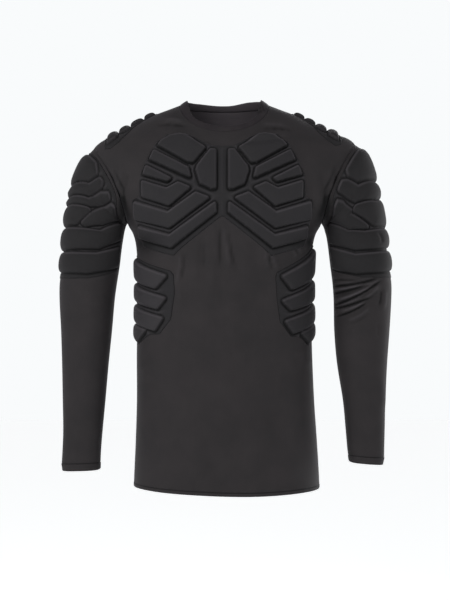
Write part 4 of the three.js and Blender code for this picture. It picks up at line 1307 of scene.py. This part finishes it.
def addRamp(tree, source, stops):
    ramp = addNode(tree, "ShaderNodeValToRGB", None, {"Fac": source})
    for element, (position, hexText) in zip(ramp.color_ramp.elements, stops):
        element.position, element.color = position, linearColour(hexText)
    return ramp.outputs["Color"]


def paintOver(tree, under, hexText, amount):
    settings = {"data_type": "RGBA", 7: linearColour(hexText)}
    return addNode(tree, "ShaderNodeMix", settings, {0: amount, 6: under}).outputs[2]


def painted(tree, name):
    return addNode(tree, "ShaderNodeAttribute", {"attribute_name": name}).outputs["Fac"]


def scaled(tree, source, by):
    settings = {"operation": "MULTIPLY", 1: by}
    return addNode(tree, "ShaderNodeMath", settings, {0: source}).outputs["Value"]


def addBump(tree, height, strength, distance, links=None):
    settings, links = {"Strength": strength, "Distance": distance}, {"Height": height, **(links or {})}
    return addNode(tree, "ShaderNodeBump", settings, links).outputs["Normal"]


knit = {
    "colour": "#2a2728",
    "shade": "#242223",
    # colour of the painted highlight
    "lift": "#3e3b3e",
    # colour of the painted shade in channels, seams, folds and armpits
    "deep": "#020202",
    "back": "#3c383b",  # inner side of the knit, paler; also painted light on the shaded inside
    "channel": 1.0,  # how dark the painted shade in channels, seams, creases and folds gets
    "paintedHighlight": 0.6,  # how much lighter the cells' upper edges are: a painted highlight, also on the crests of folds
    "waleMm": 1.1,  # real wales are about 0.7 mm apart; drawn coarser so that they show
    "courseMm": 0.9,
    "roughness": 0.74,
}
waveScale = 1000 / 20 * 6.2832 / 2  # of bands 1 mm apart, on a cut laid out in metres


def knitMaterial(name, look):
    # polyester and elastane jersey, warp-knitted and dyed: fine vertical wales and a soft, silky sheen
    material = bpy.data.materials.new(name)
    material.use_nodes = True
    tree = material.node_tree
    tree.nodes.clear()
    out = addNode(tree, "ShaderNodeOutputMaterial")
    shader = addNode(tree, "ShaderNodeBsdfPrincipled", {
        "Roughness": look["roughness"], "IOR": 1.5, "Specular IOR Level": 0.1,
        "Sheen Weight": 0.1, "Sheen Roughness": 0.5, "Sheen Tint": linearColour("#a7a3a9"),
    })
    tree.links.new(shader.outputs["BSDF"], out.inputs["Surface"])
    uv = addNode(tree, "ShaderNodeUVMap", {"uv_map": "cut"})
    place = addNode(tree, "ShaderNodeTexCoord")
    # uneven dye and handling
    blotch = addNode(tree, "ShaderNodeTexNoise", {"Scale": 22.0, "Detail": 5.0, "Roughness": 0.6},
                     {"Vector": place.outputs["Object"]})
    fibre = addNode(tree, "ShaderNodeTexNoise", {"Scale": 900.0, "Detail": 2.0},
                    {"Vector": place.outputs["Object"]})
    dye = addRamp(tree, blotch.outputs["Fac"], ((0.3, look["shade"]), (0.72, look["colour"])))
    wales, courses = (
        addNode(tree, "ShaderNodeTexWave", {
            "wave_type": "BANDS", "bands_direction": direction, "Scale": waveScale / pitch,
            "Distortion": distortion, "Detail": 1.0, "Detail Scale": 4.0}, {"Vector": uv.outputs["UV"]})
        for direction, pitch, distortion in (("X", look["waleMm"], 0.6), ("Y", look["courseMm"], 0.8)))
    loops = addNode(tree, "ShaderNodeMath", {"operation": "MULTIPLY"},
                    {0: wales.outputs["Fac"], 1: courses.outputs["Fac"]}).outputs["Value"]
    blend = {"data_type": "RGBA", "blend_type": "MULTIPLY", "Factor": 0.25}
    yarn = addNode(tree, "ShaderNodeMix", blend, {6: dye, 7: loops})
    # painted shade where hardly any light reaches: the bottoms of stitched channels, seams, creases,
    # fold valleys and armpits
    depth = scaled(tree, painted(tree, "channel"), look["channel"])
    colour = paintOver(tree, yarn.outputs[2], look["deep"], depth)
    # painted highlight on the cells' upper edges, the rolls between cells and the crests of folds
    highlighted = scaled(tree, painted(tree, "paintedHighlight"), look["paintedHighlight"])
    colour = paintOver(tree, colour, look["lift"], highlighted)
    colour = paintOver(tree, colour, look["back"], painted(tree, "inside"))
    tree.links.new(colour, shader.inputs["Base Color"])
    raised = addBump(tree, loops, 0.35, 0.0003)
    fuzzy = addBump(tree, fibre.outputs["Fac"], 0.25, 0.0002, {"Normal": raised})
    tree.links.new(fuzzy, shader.inputs["Normal"])
    return material


def threadMaterial(name, look):
    # spun polyester sewing thread, dyed to match: its fine twist catches a little more light
    material = bpy.data.materials.new(name)
    material.use_nodes = True
    tree = material.node_tree
    shader = tree.nodes["Principled BSDF"]
    place = addNode(tree, "ShaderNodeTexCoord")
    twist = addNode(tree, "ShaderNodeTexWave", {
        "wave_type": "BANDS", "bands_direction": "DIAGONAL", "Scale": 900.0, "Distortion": 1.0},
        {"Vector": place.outputs["Object"]})
    dye = addRamp(tree, twist.outputs["Fac"], ((0, look["dark"]), (1, look["light"])))
    tree.links.new(dye, shader.inputs["Base Color"])
    tree.links.new(addBump(tree, twist.outputs["Fac"], 0.4, 0.0001), shader.inputs["Normal"])
    shader.inputs["Roughness"].default_value = 0.6
    shader.inputs["Specular IOR Level"].default_value = 0.2
    return material


print("dyeing the cloth")
jersey = knitMaterial("charcoal warp-knit jersey", knit)
padJersey = knitMaterial("charcoal jersey over foam", {**knit, "colour": "#232223", "shade": "#1f1e20"})
armDye = {"colour": "#201f20", "shade": "#1d1c1d"}
armJersey = knitMaterial("charcoal jersey over arm foam", {**knit, **armDye})
ribKnit = knitMaterial("charcoal neckband jersey", {**knit, "shade": "#211d20"})


def finishPiece(piece, node, material):
    piece.data.materials.append(material)
    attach(piece, "root")
    if node:
        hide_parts(node)


# the thread is added to the cloth and stands for no solid
polyThread = threadMaterial("charcoal polyester thread", {"dark": "#1b191b", "light": "#2e2b2e"})
finishPiece(seamStitches, None, polyThread)
finishPiece(padSeamStitches, None, polyThread)
finishPiece(frontPanel, "front", jersey)
finishPiece(backPanel, "back", jersey)
finishPiece(sleeveLeftTube, "sleeve_left", jersey)
finishPiece(sleeveRightTube, "sleeve_right", jersey)
finishPiece(neckband, "neckband", ribKnit)
finishPiece(chestFoam, "chest_pad", padJersey)
for side in ("left", "right"):
    finishPiece(ribFoam[side], f"rib_pad_{side}", padJersey)
    finishPiece(armFoam[side], f"upper_arm_pad_{side}", armJersey)
    finishPiece(shoulderFoam[side], f"shoulder_pad_{side}", armJersey)


# studio: pale floor, soft light from above, camera level with the middle of the shirt
studio = {
    "cameraDistance": 2.617,
    "cameraHeight": -0.353,
    "frameHeight": 1.116,
    "floorZ": -1.6,
    "keyPower": 75,
    "fillPower": 22,
    "sidePower": 34,
    "backdrop": "#f6f8f9",
    "air": "#f9fbfc",
    "ceiling": "#5a5b5c",
}


def makeStudio():
    camera = bpy.data.objects.new("camera", bpy.data.cameras.new("camera"))
    bpy.context.scene.collection.objects.link(camera)
    camera.location = (0.001, -studio["cameraDistance"], studio["cameraHeight"])
    camera.rotation_euler = (math.pi / 2, 0, 0)
    camera.data.sensor_width = 36
    camera.data.lens = 36 * studio["cameraDistance"] / studio["frameHeight"]
    camera.data.clip_end = 60
    bpy.context.scene.camera = camera
    bpy.context.scene.view_settings.view_transform = "Standard"

    bpy.ops.object.select_all(action="DESELECT")
    bpy.ops.mesh.primitive_plane_add(size=24, location=(0, 0, studio["floorZ"]))
    floor = bpy.context.object
    floor.name = "studio_floor"
    paper = bpy.data.materials.new("matt white backdrop paper")
    paper.use_nodes = True
    sockets = paper.node_tree.nodes["Principled BSDF"].inputs
    sockets["Base Color"].default_value = linearColour(studio["backdrop"])
    sockets["Roughness"].default_value = 0.9
    sockets["Emission Color"].default_value = (1, 1, 1, 1)
    sockets["Emission Strength"].default_value = 0.6
    floor.data.materials.append(paper)

    def areaLight(name, place, aim, size, power):
        light = bpy.data.lights.new(name, "AREA")
        light.shape, light.size, light.size_y, light.energy = "RECTANGLE", size[0], size[1], power
        lamp = bpy.data.objects.new(name, light)
        bpy.context.scene.collection.objects.link(lamp)
        lamp.location = place
        away = np.array(place) - np.array(aim)
        tilt = math.acos(away[2] / np.linalg.norm(away))
        lamp.rotation_euler = (tilt, 0, math.atan2(away[1], away[0]) + math.pi / 2)

    areaLight("key light", (-1.9, -2.3, 1.1), (0, 0, -0.35), (1.5, 1.5), studio["keyPower"])
    areaLight("fill light", (1.8, -2.6, 1.3), (0, 0, -0.2), (1.8, 1.4), studio["fillPower"])
    areaLight("back light", (0.6, 2.6, 0.9), (0, 0, -0.35), (1.8, 1.5), studio["fillPower"])
    areaLight("side light", (2.3, 1.1, -0.4), (0, 0, -0.4), (1.6, 1.6), studio["sidePower"])

    world = bpy.data.worlds.new("studio air")
    bpy.context.scene.world = world
    world.use_nodes = True
    # pale walls all round, under a darker ceiling
    tree = world.node_tree
    direction = addNode(tree, "ShaderNodeTexCoord")
    height = addNode(tree, "ShaderNodeSeparateXYZ", None, {"Vector": direction.outputs["Generated"]})
    walls = addRamp(tree, height.outputs["Z"], ((0.3, studio["air"]), (0.75, studio["ceiling"])))
    tree.links.new(walls, tree.nodes["Background"].inputs["Color"])
    tree.nodes["Background"].inputs["Strength"].default_value = 1.0


print("setting up the studio")
makeStudio()

print("done")
